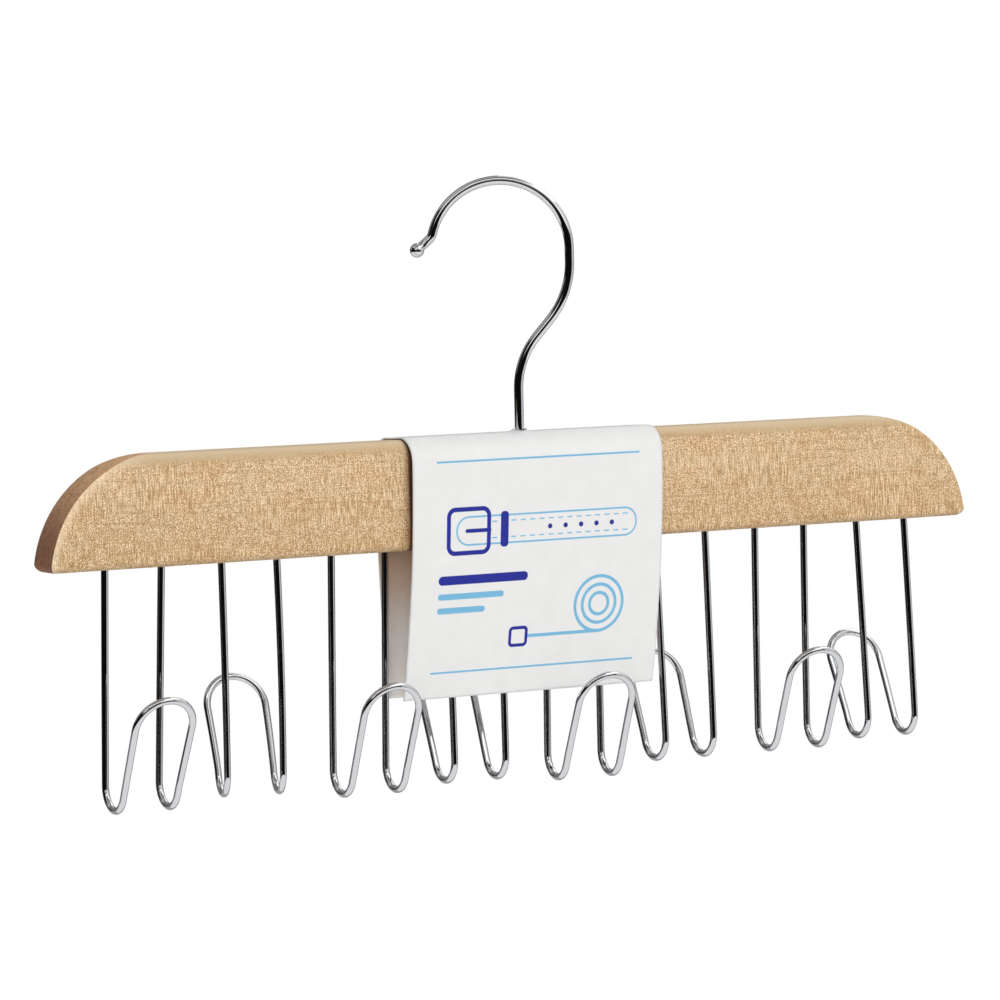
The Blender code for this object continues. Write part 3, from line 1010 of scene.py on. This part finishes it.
@dataclass
class SwivelHook:
    """The main hook, bent from one wire with an upset ball at its tip."""

    wire_radius: float = 0.00155
    turn: float = math.radians(-30.0)
    shank_low: float = 0.0006
    shank_high: float = 0.0510
    neck_radius: float = 0.027
    neck_bend: float = math.radians(40.0)
    neck_straight: float = 0.0070
    side_radius: float = 0.030
    side_straight: float = 0.0044
    ring_radius: float = 0.0230
    ring_bend: float = math.radians(165.5)
    tip_bend_radius: float = 0.0040
    tip_bend: float = math.radians(35.0)
    tip_straight: float = 0.0051
    ball_radius: float = 0.0024
    ball_steps: int = 22
    ball_end: float = math.radians(6.0)
    thread_pitch: float = 0.0005
    thread_depth: float = 0.00025
    thread_turns: int = 7
    sides: int = 40
    bend_step_degrees: float = 2.5

    def thread(self, wire: WireBender) -> float:
        """Cut the lower end's thread.

        Args:
            wire: The bender at the shank's lower end.

        Returns:
            The height that the thread reaches.
        """
        valley = 1 - self.thread_depth / self.wire_radius
        for _ in range(self.thread_turns):
            wire.straight(self.thread_pitch / 2, valley)
            wire.straight(self.thread_pitch / 2, 1 / valley)
        return self.shank_low + self.thread_turns * self.thread_pitch

    def ball(self, wire: WireBender) -> None:
        """Upset the tip into a ball.

        Args:
            wire: The bender at the end of the last bend.
        """
        first = math.pi - math.asin(self.wire_radius / self.ball_radius)
        last = (self.tip_straight + self.ball_radius * math.cos(first), self.wire_radius)
        wire.straight(last[0])
        for index in range(1, self.ball_steps + 1):
            angle = first + (self.ball_end - first) * index / self.ball_steps
            along = self.tip_straight + self.ball_radius * math.cos(angle)
            radius = self.ball_radius * math.sin(angle)
            wire.straight(along - last[0], radius / last[1])
            last = (along, radius)

    def dress(self, finish: BrightChrome) -> None:
        """Make the hook.

        Args:
            finish: Its finish.
        """
        axis = Vector((0, -1, 0))
        wire = WireBender(Vector((0, 0, self.shank_low)), Z_AXIS, self.wire_radius, self.sides)
        threaded = self.thread(wire)
        wire.straight(self.shank_high - threaded)
        wire.bend(self.neck_radius, -self.neck_bend, axis, self.bend_step_degrees)
        wire.straight(self.neck_straight)
        wire.bend(self.side_radius, self.neck_bend, axis, self.bend_step_degrees)
        wire.straight(self.side_straight)
        wire.bend(self.ring_radius, self.ring_bend, axis, self.bend_step_degrees)
        wire.bend(self.tip_bend_radius, -self.tip_bend, axis, self.bend_step_degrees)
        self.ball(wire)
        bm = wire.close()
        bmesh.ops.rotate(bm, verts=bm.verts, cent=(0, 0, 0), matrix=Matrix.Rotation(self.turn, 3, "Z"))
        drop(bm)
        mesh = finish_mesh("rail_hook_wire", bm, WIRE_SHARP_DEGREES)
        mesh.materials.append(finish.material())
        add_piece("rail_hook_wire", mesh, "hook", "hook_wire", "swivel_hook")


@dataclass
class ShankFastening:
    """The washer and nut under the wood."""

    shank_radius: float = 0.00155
    washer_radius: float = 0.0035
    washer_low: float = 0.0039
    washer_high: float = 0.0047
    nut_across_flats: float = 0.0055
    nut_low: float = 0.0012
    nut_high: float = 0.0036
    nut_turn: float = math.radians(-30.0)
    # The nut's corners are turned to this share of its width across flats
    turned_share: float = 1.02
    edge: float = 0.00012
    edge_segments: int = 2
    sides: int = 64
    bore_sides: int = 40

    def washer(self, finish: bpy.types.Material) -> None:
        """Make the washer with its rounded stamped edges.

        Args:
            finish: Its material.
        """
        bm = bmesh.new()
        round_bar(bm, self.washer_radius, self.washer_low, self.washer_high, self.sides)
        rims = [edge for edge in bm.edges if edge.calc_face_angle() > RIM_TURN]
        bmesh.ops.bevel(bm, geom=rims, offset=self.edge, offset_type="OFFSET",
                        segments=self.edge_segments, profile=0.5, affect="EDGES", material=-1)
        self.add("stamped_washer", bm, "bar", "hook_washer", finish)

    def nut(self, finish: bpy.types.Material) -> None:
        """Make the hexagon nut with its turned corners.

        Args:
            finish: Its material.
        """
        bm = bmesh.new()
        corner = self.nut_across_flats / 2 / math.cos(math.pi / 6)
        round_bar(bm, corner, self.nut_low, self.nut_high, 6, Matrix.Rotation(self.nut_turn, 4, "Z"))
        blank = finish_mesh("hexagon_nut", bm)
        turned = bmesh.new()
        flat = self.nut_across_flats / 2 * self.turned_share
        reach = flat + (self.nut_high - self.nut_low) / 2
        round_bar(turned, reach, self.nut_low, self.nut_high, self.sides)
        rims = [edge for edge in turned.edges if edge.calc_face_angle() > RIM_TURN]
        bmesh.ops.bevel(turned, geom=rims, offset=reach - flat, offset_type="OFFSET", segments=1,
                        profile=0.5, affect="EDGES", material=-1, clamp_overlap=True)
        shaped = machined(blank, [(finish_mesh("turning", turned), Cut.KEEP_INSIDE)])
        bm = bmesh.new()
        bm.from_mesh(shaped)
        bpy.data.meshes.remove(shaped)
        self.add("hexagon_nut", bm, "hook", "hook_nut", finish)

    def add(self, name: str, bm: bmesh.types.BMesh, body: str, node: str,
            finish: bpy.types.Material) -> None:
        """Bore a fastener and add it.

        Args:
            name: The piece's name.
            bm: Its solid, drawn from the underside.
            body: The body that it rides on.
            node: The CAD node that it stands for.
            finish: Its material.
        """
        drill = bmesh.new()
        round_bar(drill, self.shank_radius + FIT_GAP, -CUT_MARGIN, CUT_MARGIN * 2, self.bore_sides)
        drop(bm)
        drop(drill)
        mesh = machined(finish_mesh(name, bm), [(finish_mesh("drill", drill), Cut.TAKE_AWAY)])
        mesh.materials.clear()
        mesh.materials.append(finish)
        add_piece(name, mesh, body, "hook_fastener", node)

    def dress(self, finish: ZincPlate) -> None:
        """Make both fasteners.

        Args:
            finish: Their finish.
        """
        material = finish.material()
        self.washer(material)
        self.nut(material)


@dataclass
class BeltHook:
    """One belt hook: a wire with two legs, two throats and an arch."""

    side: Side
    number: int
    across: float
    # How much lower than the common drop it hangs
    seating: float
    # Height of its arch above its throats
    rise: float
    # Slope of its rising wires away from upright
    spread: float
    # Turn of its throats and arch about upright
    twist: float
    # How much further to the right its throats stand than its legs' upper ends
    sway: float
    throat_spacing: float
    wire_radius: float = 0.0012
    leg_spacing: float = 0.0200
    arch_spacing: float = 0.0197
    leg_lean: float = math.radians(3.4)
    insertion: float = 0.0160
    drop: float = 0.0768
    throat_radius: float = 0.0072
    leg_steps: int = 12
    sides: int = 28
    bore_sides: int = 24

    @property
    def node(self) -> str:
        """The CAD node that it stands for."""
        return f"belt_hook_{self.side.name.lower()}_{self.number}"

    def add_drills(self, bm: bmesh.types.BMesh) -> None:
        """Add the drills for its two legs.

        Args:
            bm: The drills' bmesh.
        """
        lean = Matrix.Rotation(-self.side.value * self.leg_lean, 4, "X")
        for leg in (-self.leg_spacing / 2, self.leg_spacing / 2):
            place = Matrix.Translation((self.across + leg, 0, -self.seating)) @ lean
            depth = self.insertion + self.seating + 4 * FIT_GAP
            round_bar(bm, self.wire_radius + FIT_GAP, -CUT_MARGIN, depth, self.bore_sides, place)

    def bent(self) -> bmesh.types.BMesh:
        """Bend the wire evenly, from its left leg over the arch to its right one.

        Returns:
            The even wire, from the middle of its legs at the underside.
        """
        out = self.side.value
        lean = Vector((0, -out * math.sin(self.leg_lean), -math.cos(self.leg_lean)))
        throat_up = self.throat_radius - self.drop
        leg = (-throat_up - self.throat_radius * math.sin(self.leg_lean)) / math.cos(self.leg_lean)
        start = -self.insertion * lean - self.leg_spacing / 2 * X_AXIS
        wire = WireBender(start, lean, self.wire_radius, self.sides)
        axis = out * X_AXIS
        throat = math.pi - self.spread + self.leg_lean
        wire.straight(self.insertion)
        wire.straights(leg, self.leg_steps)
        wire.bend(self.throat_radius, throat, axis)
        climb = (self.rise - self.drop - wire.at.z) / math.cos(self.spread) - self.leg_spacing / 2
        wire.straights(climb, self.leg_steps)
        wire.bend(self.leg_spacing / 2, math.pi, wire.heading.cross(X_AXIS))
        wire.straights(climb, self.leg_steps)
        wire.bend(self.throat_radius, -throat, axis)
        wire.straights(leg, self.leg_steps)
        wire.straight(self.insertion)
        return wire.close()

    def hang_share(self, up: float) -> float:
        """Return 0 at the underside or above it, 1 at the throats or below them."""
        return clamped(-up / (self.drop - self.throat_radius))

    def as_made(self, place: Vector) -> Vector:
        """Move a point of the evenly drawn wire to its place on the hook as it was bent by hand.

        Args:
            place: The point on the even hook, from the middle of its legs at the underside.

        Returns:
            The point on the hand-bent one.
        """
        share = self.hang_share(place.z)
        spacing = self.leg_spacing + (self.throat_spacing - self.leg_spacing) * share
        if place.y * self.side.value > self.throat_radius / 2:
            arch_foot = self.rise - self.drop - self.leg_spacing / 2 * math.cos(self.spread)
            throat = self.throat_radius - self.drop
            climbed = clamped((place.z - throat) / (arch_foot - throat))
            spacing = self.throat_spacing + (self.arch_spacing - self.throat_spacing) * climbed
        even = Vector((place.x * spacing / self.leg_spacing, place.y, place.z))
        return Matrix.Rotation(self.twist * share, 3, "Z") @ even + self.sway * share * X_AXIS

    def dress(self, finish: bpy.types.Material) -> None:
        """Make the hook.

        Args:
            finish: Its material.
        """
        bm = self.bent()
        for vert in bm.verts:
            vert.co = self.as_made(vert.co)
        bmesh.ops.translate(bm, verts=bm.verts, vec=(self.across, 0, -self.seating))
        drop(bm)
        mesh = finish_mesh(f"{self.node}_wire", bm, WIRE_SHARP_DEGREES)
        mesh.materials.append(finish)
        add_piece(f"{self.node}_wire", mesh, "bar", "belt_hook_wire", self.node)


@dataclass
class CardSleeve:
    """The printed card, folded over the bar and threaded on the shank."""

    thickness: float = 0.00045
    width: float = 0.0958
    drop: float = 0.0491
    bulge: float = 0.0032
    shoulder: float = 0.0080
    bar_height: float = 0.0364
    bar_thickness: float = 0.0133
    # How far out the legs under it stand at its lower edge
    covered_reach: float = 0.00467
    # Sideways place of its middle at the rear's lower edge and fold
    rear_offsets: tuple[float, float] = (-0.0012, -0.0017)
    # The same at the front's fold and lower edge
    front_offsets: tuple[float, float] = (0.0015, -0.0016)
    grid: float = 0.0010
    hole_radius: float = 0.0021
    hole_sides: int = 40
    lip_height: float = 0.0009
    lip_reach: float = 0.0036
    # How steeply the lip rises, its mean height and swing round the hole as shares, and its turn
    lip_power: float = 1.6
    lip_mean: float = 0.62
    lip_swing: float = 0.38
    lip_turn: float = 0.6
    wave: float = 0.00035
    wave_size: float = 0.030

    def __post_init__(self) -> None:
        """Work out the folded section from the sizes."""
        self.top = self.bar_height + FIT_GAP + self.thickness / 2
        self.widest = self.bar_thickness / 2 + self.bulge
        self.flat_top = self.widest - self.shoulder
        self.shoulder_up = self.top - self.shoulder
        edge = self.covered_reach + FIT_GAP + self.thickness / 2
        fall = self.shoulder_up + self.drop
        draw_in = self.widest - edge
        self.panel_radius = (fall ** 2 + draw_in ** 2) / (2 * draw_in)
        panel = self.panel_radius * math.asin(fall / self.panel_radius)
        self.half_length = self.flat_top + self.shoulder * math.pi / 2 + panel

    def fold(self, across: float, along: float) -> Vector:
        """Return where a point of the flat card lies on the folded one.

        Args:
            across: The point's distance from the card's left edge.
            along: Its distance from the front's lower edge.

        Returns:
            The point, from the bar's underside.
        """
        side = Side.FRONT if along < self.half_length else Side.REAR
        travel = abs(along - self.half_length)
        out, up = self.section(travel)
        middle = self.middle(side, side.value * travel, up)
        out += self.waviness(across, along, up)
        return Vector((middle + across - self.width / 2, side.value * out, up))

    def section(self, travel: float) -> tuple[float, float]:
        """Return a point of the folded section: flat on top, round over the shoulder, then hanging.

        Args:
            travel: The distance along the card from the middle of its fold.

        Returns:
            How far out from the bar's middle the point lies, and how far up.
        """
        turned = travel - self.flat_top
        hung = turned - self.shoulder * math.pi / 2
        if turned <= 0:
            return travel, self.top
        if hung <= 0:
            angle = turned / self.shoulder
            return (self.flat_top + self.shoulder * math.sin(angle),
                    self.shoulder_up + self.shoulder * math.cos(angle))
        angle = hung / self.panel_radius
        return (self.widest - self.panel_radius * (1 - math.cos(angle)),
                self.shoulder_up - self.panel_radius * math.sin(angle))

    def middle(self, side: Side, travel: float, up: float) -> float:
        """Return the sideways place of the card's middle, as it was folded a little askew.

        Args:
            side: The side of the bar.
            travel: The distance along the card from the middle of its fold, less than 0 at the front.
            up: The height.

        Returns:
            The distance to the right of the bar's middle.
        """
        front_fold, front_edge = self.front_offsets
        rear_edge, rear_fold = self.rear_offsets
        if abs(travel) <= self.flat_top:
            return front_fold + (travel + self.flat_top) / (2 * self.flat_top) * (rear_fold - front_fold)
        fallen = (self.top - up) / (self.top + self.drop)
        fold, edge = (front_fold, front_edge) if side is Side.FRONT else (rear_fold, rear_edge)
        return fold + (edge - fold) * fallen ** 2

    def waviness(self, across: float, along: float, up: float) -> float:
        """Return how far the handled card stands out from its plain curve.

        Args:
            across: The point's distance from the card's left edge.
            along: Its distance from the front's lower edge.
            up: Its height.

        Returns:
            The distance outwards.
        """
        hanging = clamped((self.bar_height - up) / self.bar_height)
        place = Vector((across, along, 0.0)) / self.wave_size
        return hanging * self.wave * (0.5 + 0.5 * noise.noise(place))

    def raise_lip(self, mesh: bpy.types.Mesh) -> None:
        """Push up the card's torn lips round the shank.

        Args:
            mesh: The card with its hole.
        """
        for vert in mesh.vertices:
            distance = math.hypot(vert.co.x, vert.co.y)
            if vert.co.z < self.top - RAIL_HEIGHT - self.shoulder / 4 or distance > self.lip_reach:
                continue
            share = 1 - max(0.0, distance - self.hole_radius) / (self.lip_reach - self.hole_radius)
            around = math.atan2(vert.co.y, vert.co.x)
            tear = self.lip_mean + self.lip_swing * math.cos(2 * around + self.lip_turn)
            vert.co.z += self.lip_height * share ** self.lip_power * tear

    def sheet(self) -> bpy.types.Mesh:
        """Fold the flat sheet.

        Returns:
            The sheet as a mesh without thickness, with its flat UV map in metres.
        """
        bm = bmesh.new()
        columns = round(self.width / self.grid)
        rows = round(2 * self.half_length / self.grid)
        bmesh.ops.create_grid(bm, x_segments=columns, y_segments=rows, size=1.0)
        layer = bm.loops.layers.uv.new("flat")
        for vert in bm.verts:
            across = (vert.co.x + 1) / 2 * self.width
            along = (vert.co.y + 1) / 2 * 2 * self.half_length
            for loop in vert.link_loops:
                loop[layer].uv = (across, along)
            vert.co = self.fold(across, along)
        drop(bm)
        mesh = bpy.data.meshes.new("folded_card")
        for face in bm.faces:
            face.smooth = True
        bm.normal_update()
        outward = sum(face.normal.y * face.calc_center_median().y for face in bm.faces)
        if outward < 0:
            bmesh.ops.reverse_faces(bm, faces=bm.faces)
        bm.to_mesh(mesh)
        bm.free()
        return mesh

    def dress(self, finish: CoatedCard, marks: Iterable[Mark]) -> None:
        """Make the card.

        Args:
            finish: Its finish.
            marks: What is printed on its outside.
        """
        mesh = self.sheet()
        mesh.materials.append(finish.material("coated_card_printed", marks))
        mesh.materials.append(finish.material("uncoated_card_inside", inside=True))
        mesh.materials.append(finish.material("coated_card_cut_edge"))
        mesh = applied(mesh, [("SOLIDIFY", {"thickness": self.thickness, "offset": 0.0,
                                            "use_even_offset": True, "material_offset": 1,
                                            "material_offset_rim": 2})])
        punch = bmesh.new()
        round_bar(punch, self.hole_radius, self.bar_height - CUT_MARGIN / 2,
                  self.bar_height + CUT_MARGIN, self.hole_sides)
        drop(punch)
        mesh = machined(mesh, [(finish_mesh("punch", punch), Cut.TAKE_AWAY)])
        self.raise_lip(mesh)
        add_piece("folded_card", mesh, "bar", "sleeve_card", "card_sleeve")


# Studio


class RoomPatch(NamedTuple):
    """A patch of the room that the chrome mirrors, with its limits in degrees."""

    brightness: float
    # Height above level
    low: float
    high: float
    # Angle round from the camera, towards its left when it is negative
    start: float = -NO_LIMIT
    end: float = NO_LIMIT
    # Least angle from the way to the camera
    away: float = 0.0
    # Share of red, green and blue in it
    tint: tuple[float, float, float] = (1.0, 1.0, 1.0)


# What the chrome mirrors, each patch over the ones before it: grey walls with a pale table below,
# the greyer back of the room, which draws each wire's outline, the dark front, which fades round
# to its sides, a wooden cupboard over it, a screen and the pale right wall, two more screens, a
# long bright lamp between them, a dark beam, the dark left corner and a window behind at the right.
ROOM = (
    RoomPatch(0.46, -100, 100),
    RoomPatch(0.92, -100, -22),
    RoomPatch(0.74, -22, -9),
    RoomPatch(0.20, -12, 100, away=114),
    RoomPatch(0.42, -100, -12, away=119),
    RoomPatch(0.004, -22, 10, -100, 70),
    RoomPatch(0.04, -12, 10, -128, -98),
    RoomPatch(0.66, -14, 10, 64, 122),
    RoomPatch(0.33, 10, 34, -10, 62, tint=(1.0, 0.82, 0.70)),
    RoomPatch(1.3, 12, 32, 32, 64),
    RoomPatch(0.72, 10, 36, 62, 130),
    RoomPatch(1.3, 11, 20, -30, -8),
    RoomPatch(1.8, 34, 42, -22, 60),
    RoomPatch(1.7, 38, 60, 42, 135),
    RoomPatch(0.10, 56, 74, -60, 40),
    RoomPatch(0.005, 9, 25, -64, -30),
    RoomPatch(0.012, 9, 34, -98, -48),
    RoomPatch(1.4, 22, 62, 118, 190),
)


@dataclass
class Studio:
    """A white table, three large soft lamps, a dark room in front and the camera."""

    floor_height: float = -0.50
    floor_radius: float = 1.45
    floor_sides: int = 96
    floor_colour: str = "#F4F4F4"
    floor_roughness: float = 0.9
    floor_specular: float = 0.1
    floor_lift: float = 0.66
    key_power: float = 24.8
    key_direction: Vector = field(default_factory=lambda: Vector((0.34, -0.85, 0.43)))
    key_distance: float = 2.2
    key_size: float = 1.4
    fill_power: float = 11.0
    fill_direction: Vector = field(default_factory=lambda: Vector((-0.62, -0.78, 0.1)))
    top_power: float = 8.5
    top_direction: Vector = field(default_factory=lambda: Vector((-0.1, 0.35, 1.0)))
    lamp_aim: Vector = field(default_factory=lambda: Vector((0, 0, -0.1)))
    ambient: float = 0.42
    # Width of the edges of the room's patches, in degrees
    soft: float = 4.0
    camera_place: Vector = field(default_factory=lambda: Vector((-0.835354, -1.428236, 0.001546)))
    camera_right: Vector = field(default_factory=lambda: Vector((0.864356, -0.502349, -0.023112)))
    camera_up: Vector = field(default_factory=lambda: Vector((0.051913, 0.043421, 0.997707)))
    # Millimetres, as Blender's cameras take them
    lens: float = 179.53
    sensor: float = 36.0
    # How far the camera sees
    sight: float = 50.0

    def add_camera(self) -> None:
        """Set up the camera at the photograph's place."""
        data = bpy.data.cameras.new("camera")
        data.lens = self.lens
        data.sensor_width = self.sensor
        data.clip_end = self.sight
        camera = placed("camera", data)
        back = self.camera_right.cross(self.camera_up)
        turn = Matrix((self.camera_right, self.camera_up, back)).transposed()
        camera.matrix_world = Matrix.Translation(self.camera_place) @ turn.to_4x4()
        bpy.context.scene.camera = camera

    def add_floor(self) -> None:
        """Lay the white table, which a camera sees a little brighter than it is lit.

        The chrome mirrors the room's own table instead, which is dim at the back.
        """
        bm = bmesh.new()
        bmesh.ops.create_circle(bm, cap_ends=True, segments=self.floor_sides, radius=self.floor_radius,
                                matrix=Matrix.Translation((0, 0, self.floor_height)))
        mesh = finish_mesh("floor", bm)
        made, tree, shader = new_material("white_laminate_table")
        seen = add_node(tree, "ShaderNodeLightPath").outputs["Is Camera Ray"]
        lift = add_node(tree, "ShaderNodeMath", {"operation": "MULTIPLY"}, {0: seen, 1: self.floor_lift})
        feed(tree, shader, {"Base Color": linear(self.floor_colour), "Roughness": self.floor_roughness,
                            "Specular IOR Level": self.floor_specular, "Emission Color": (1, 1, 1, 1),
                            "Emission Strength": lift.outputs[0]})
        mesh.materials.append(made)
        floor = placed("floor", mesh)
        floor.visible_glossy = False

    def add_lamp(self, name: str, power: float, direction: Vector, size: float) -> None:
        """Hang a soft square lamp that faces the hanger.

        Args:
            name: The lamp's name.
            power: Its power in watts.
            direction: The way to it from the hanger.
            size: Its side.
        """
        data = bpy.data.lights.new(name, "AREA")
        data.energy = power
        data.size = size
        lamp = placed(name, data)
        way = direction.normalized()
        lamp.matrix_world = (Matrix.Translation(self.lamp_aim + way * self.key_distance)
                             @ way.to_track_quat("Z", "Y").to_matrix().to_4x4())
        lamp.visible_glossy = False

    def band(self, tree: Tree, value: Socket, low: float, high: float) -> Socket:
        """Return 1 where an angle lies between two others.

        Args:
            tree: The node tree.
            value: The angle's socket, in radians.
            low: The lower limit in degrees.
            high: The upper limit in degrees.

        Returns:
            The mask's socket.
        """
        masks = []
        for limit, way in ((low, 1), (high, -1)):
            masks.append(add_node(tree, "ShaderNodeMapRange", {"interpolation_type": "SMOOTHSTEP"},
                                  {"Value": value, "From Min": math.radians(limit - way * self.soft / 2),
                                   "From Max": math.radians(limit + way * self.soft / 2)}).outputs[0])
        return add_node(tree, "ShaderNodeMath", {"operation": "MULTIPLY"},
                        {0: masks[0], 1: masks[1]}).outputs[0]

    def add_world(self) -> None:
        """Surround the hanger: white to the camera, a lit room to mirrors and even to the rest."""
        world = bpy.data.worlds.new("studio")
        bpy.context.scene.world = world
        world.use_nodes = True
        tree = world.node_tree
        way = add_node(tree, "ShaderNodeTexCoord").outputs["Generated"]
        azimuth = math.atan2(self.camera_place.y, self.camera_place.x)
        turned = add_node(tree, "ShaderNodeVectorRotate", {"rotation_type": "Z_AXIS"},
                          {"Vector": way, "Angle": -azimuth}).outputs[0]
        room = self.room(tree, add_node(tree, "ShaderNodeSeparateXYZ", None, {0: turned}))
        rays = add_node(tree, "ShaderNodeLightPath").outputs
        ambient = add_node(tree, "ShaderNodeMix", {"data_type": "RGBA"},
                           {0: rays["Is Glossy Ray"], 6: (self.ambient,) * 3 + (1,), 7: room}).outputs[2]
        seen = add_node(tree, "ShaderNodeMix", {"data_type": "RGBA"},
                        {0: rays["Is Camera Ray"], 6: ambient, 7: (1, 1, 1, 1)}).outputs[2]
        feed(tree, tree.nodes["Background"], {"Color": seen})

    def room(self, tree: Tree, way: bpy.types.Node) -> Socket:
        """Return what a mirror sees of the room.

        Args:
            tree: The node tree.
            way: The direction's three parts, with X level and towards the camera.

        Returns:
            The colour's socket.
        """
        around = add_node(tree, "ShaderNodeMath", {"operation": "ARCTAN2"},
                          {0: way.outputs["Y"], 1: way.outputs["X"]}).outputs[0]
        rise = add_node(tree, "ShaderNodeMath", {"operation": "ARCSINE"},
                        {0: way.outputs["Z"]}).outputs[0]
        away = add_node(tree, "ShaderNodeMath", {"operation": "ARCCOSINE"},
                        {0: way.outputs["X"]}).outputs[0]
        colour: Any = (1.0, 1.0, 1.0, 1.0)
        for patch in ROOM:
            masks = [self.band(tree, rise, patch.low, patch.high),
                     self.band(tree, around, patch.start, patch.end),
                     self.band(tree, away, patch.away - self.soft, NO_LIMIT)]
            share = masks[0]
            for mask in masks[1:]:
                share = add_node(tree, "ShaderNodeMath", {"operation": "MULTIPLY"},
                                 {0: share, 1: mask}).outputs[0]
            shown = tuple(patch.brightness * part for part in patch.tint) + (1,)
            colour = add_node(tree, "ShaderNodeMix", {"data_type": "RGBA"},
                              {0: share, 6: colour, 7: shown}).outputs[2]
        return colour

    def build(self) -> None:
        """Set up everything that isn't the hanger."""
        self.add_camera()
        self.add_floor()
        self.add_lamp("key_lamp", self.key_power, self.key_direction, self.key_size)
        self.add_lamp("fill_lamp", self.fill_power, self.fill_direction, self.key_size)
        self.add_lamp("top_lamp", self.top_power, self.top_direction, self.key_size)
        self.add_world()
        bpy.context.scene.view_settings.view_transform = "Standard"


# The print is a strap with its buckle, a coiled belt and plain bars between two rules. Each mark has
# its ink, place across and up, half width and height, corner, line, pitch and copies.
CARD_PRINT = (
    Mark(Ink.SKY, 47.9, 78.0, 39.0, 0.32, 0.30),
    Mark(Ink.SKY, 47.9, 8.5, 39.0, 0.32, 0.30),
    Mark(Ink.SKY, 51.0, 55.0, 34.5, 4.6, 4.5, 0.6),
    Mark(Ink.SKY, 56.0, 57.7, 1.0, 0.22, 0.2, 0.0, 3.6, 7),
    Mark(Ink.SKY, 56.0, 52.3, 1.0, 0.22, 0.2, 0.0, 3.6, 7),
    Mark(Ink.NAVY, 21.0, 55.0, 7.6, 7.2, 2.4, 1.5),
    Mark(Ink.NAVY, 24.6, 55.0, 4.9, 0.65, 0.6),
    Mark(Ink.NAVY, 34.6, 55.0, 1.5, 5.9, 1.2),
    Mark(Ink.NAVY, 64.0, 55.0, 0.85, 0.85, 0.85, 0.0, 6.0, 2),
    Mark(Ink.SKY, 72.0, 28.0, 9.2, 9.2, 9.2, 1.1),
    Mark(Ink.SKY, 72.0, 28.0, 6.4, 6.4, 6.4, 1.1),
    Mark(Ink.SKY, 72.0, 28.0, 3.6, 3.6, 3.6, 1.1),
    Mark(Ink.SKY, 58.0, 18.8, 14.0, 0.55, 0.5),
    Mark(Ink.NAVY, 41.5, 18.8, 3.1, 2.9, 1.1, 1.1),
    Mark(Ink.NAVY, 27.0, 39.0, 17.0, 1.5, 1.4),
    Mark(Ink.SKY, 22.5, 33.6, 12.5, 1.0, 0.9),
    Mark(Ink.SKY, 19.0, 29.0, 9.0, 1.0, 0.9),
    Mark(Ink.SKY, 47.9, 105.0, 39.0, 0.32, 0.30),
    Mark(Ink.SKY, 47.9, 174.5, 39.0, 0.32, 0.30),
)


def belt_hooks() -> list[BeltHook]:
    """List the eight belt hooks, each as it was bent and driven in by hand.

    Returns:
        The hooks from the left, by turns at the front and at the rear.
    """
    pitch = 0.0412
    # Seating, rise, spread and twist in degrees, shift of the legs, sway and spacing of the throats
    fronts = ((0.0, 0.0363, 25.7, -1.8, 0.0006, -0.0005, 0.0188),
              (0.0013, 0.0363, 24.2, -2.0, -0.0003, 0.0007, 0.0193),
              (0.0022, 0.0353, 24.8, -4.6, -0.0014, 0.0014, 0.0200),
              (-0.0010, 0.0348, 25.0, -4.8, -0.0008, 0.0022, 0.0191))
    rears = ((-0.0013, 0.0362, 18.6, -14.9, 0.0009, -0.0007, 0.0184),
             (0.0007, 0.0353, 23.6, -2.8, 0.0018, -0.0013, 0.0190),
             (-0.0005, 0.0346, 21.0, -1.9, 0.0002, -0.0002, 0.0188),
             (-0.0018, 0.0341, 24.9, -4.2, -0.0003, 0.0010, 0.0187))
    hooks = []
    for index in range(len(fronts) + len(rears)):
        side, shapes = (Side.REAR, rears) if index % 2 else (Side.FRONT, fronts)
        seating, rise, spread, twist, shift, sway, spacing = shapes[index // 2]
        across = (index - len(fronts) + 0.5) * pitch + shift
        hooks.append(BeltHook(side, index // 2 + 1, across, seating, rise,
                              math.radians(spread), math.radians(twist), sway, spacing))
    return hooks


def main() -> None:
    """Build the hanger and its studio."""
    logging.basicConfig(level=logging.INFO, format="%(message)s")
    Studio().build()
    hooks = belt_hooks()
    WoodenBar().dress(hooks, LacqueredBeech(), SawnBeechEnd())
    SwivelHook().dress(BrightChrome())
    ShankFastening().dress(ZincPlate())
    wire = BrightChrome(name="chrome_plated_belt_wire", colour="#DADBDE", haze=0.09).material()
    for hook in hooks:
        hook.dress(wire)
    CardSleeve().dress(CoatedCard(), CARD_PRINT)


if __name__ == "__main__":
    main()
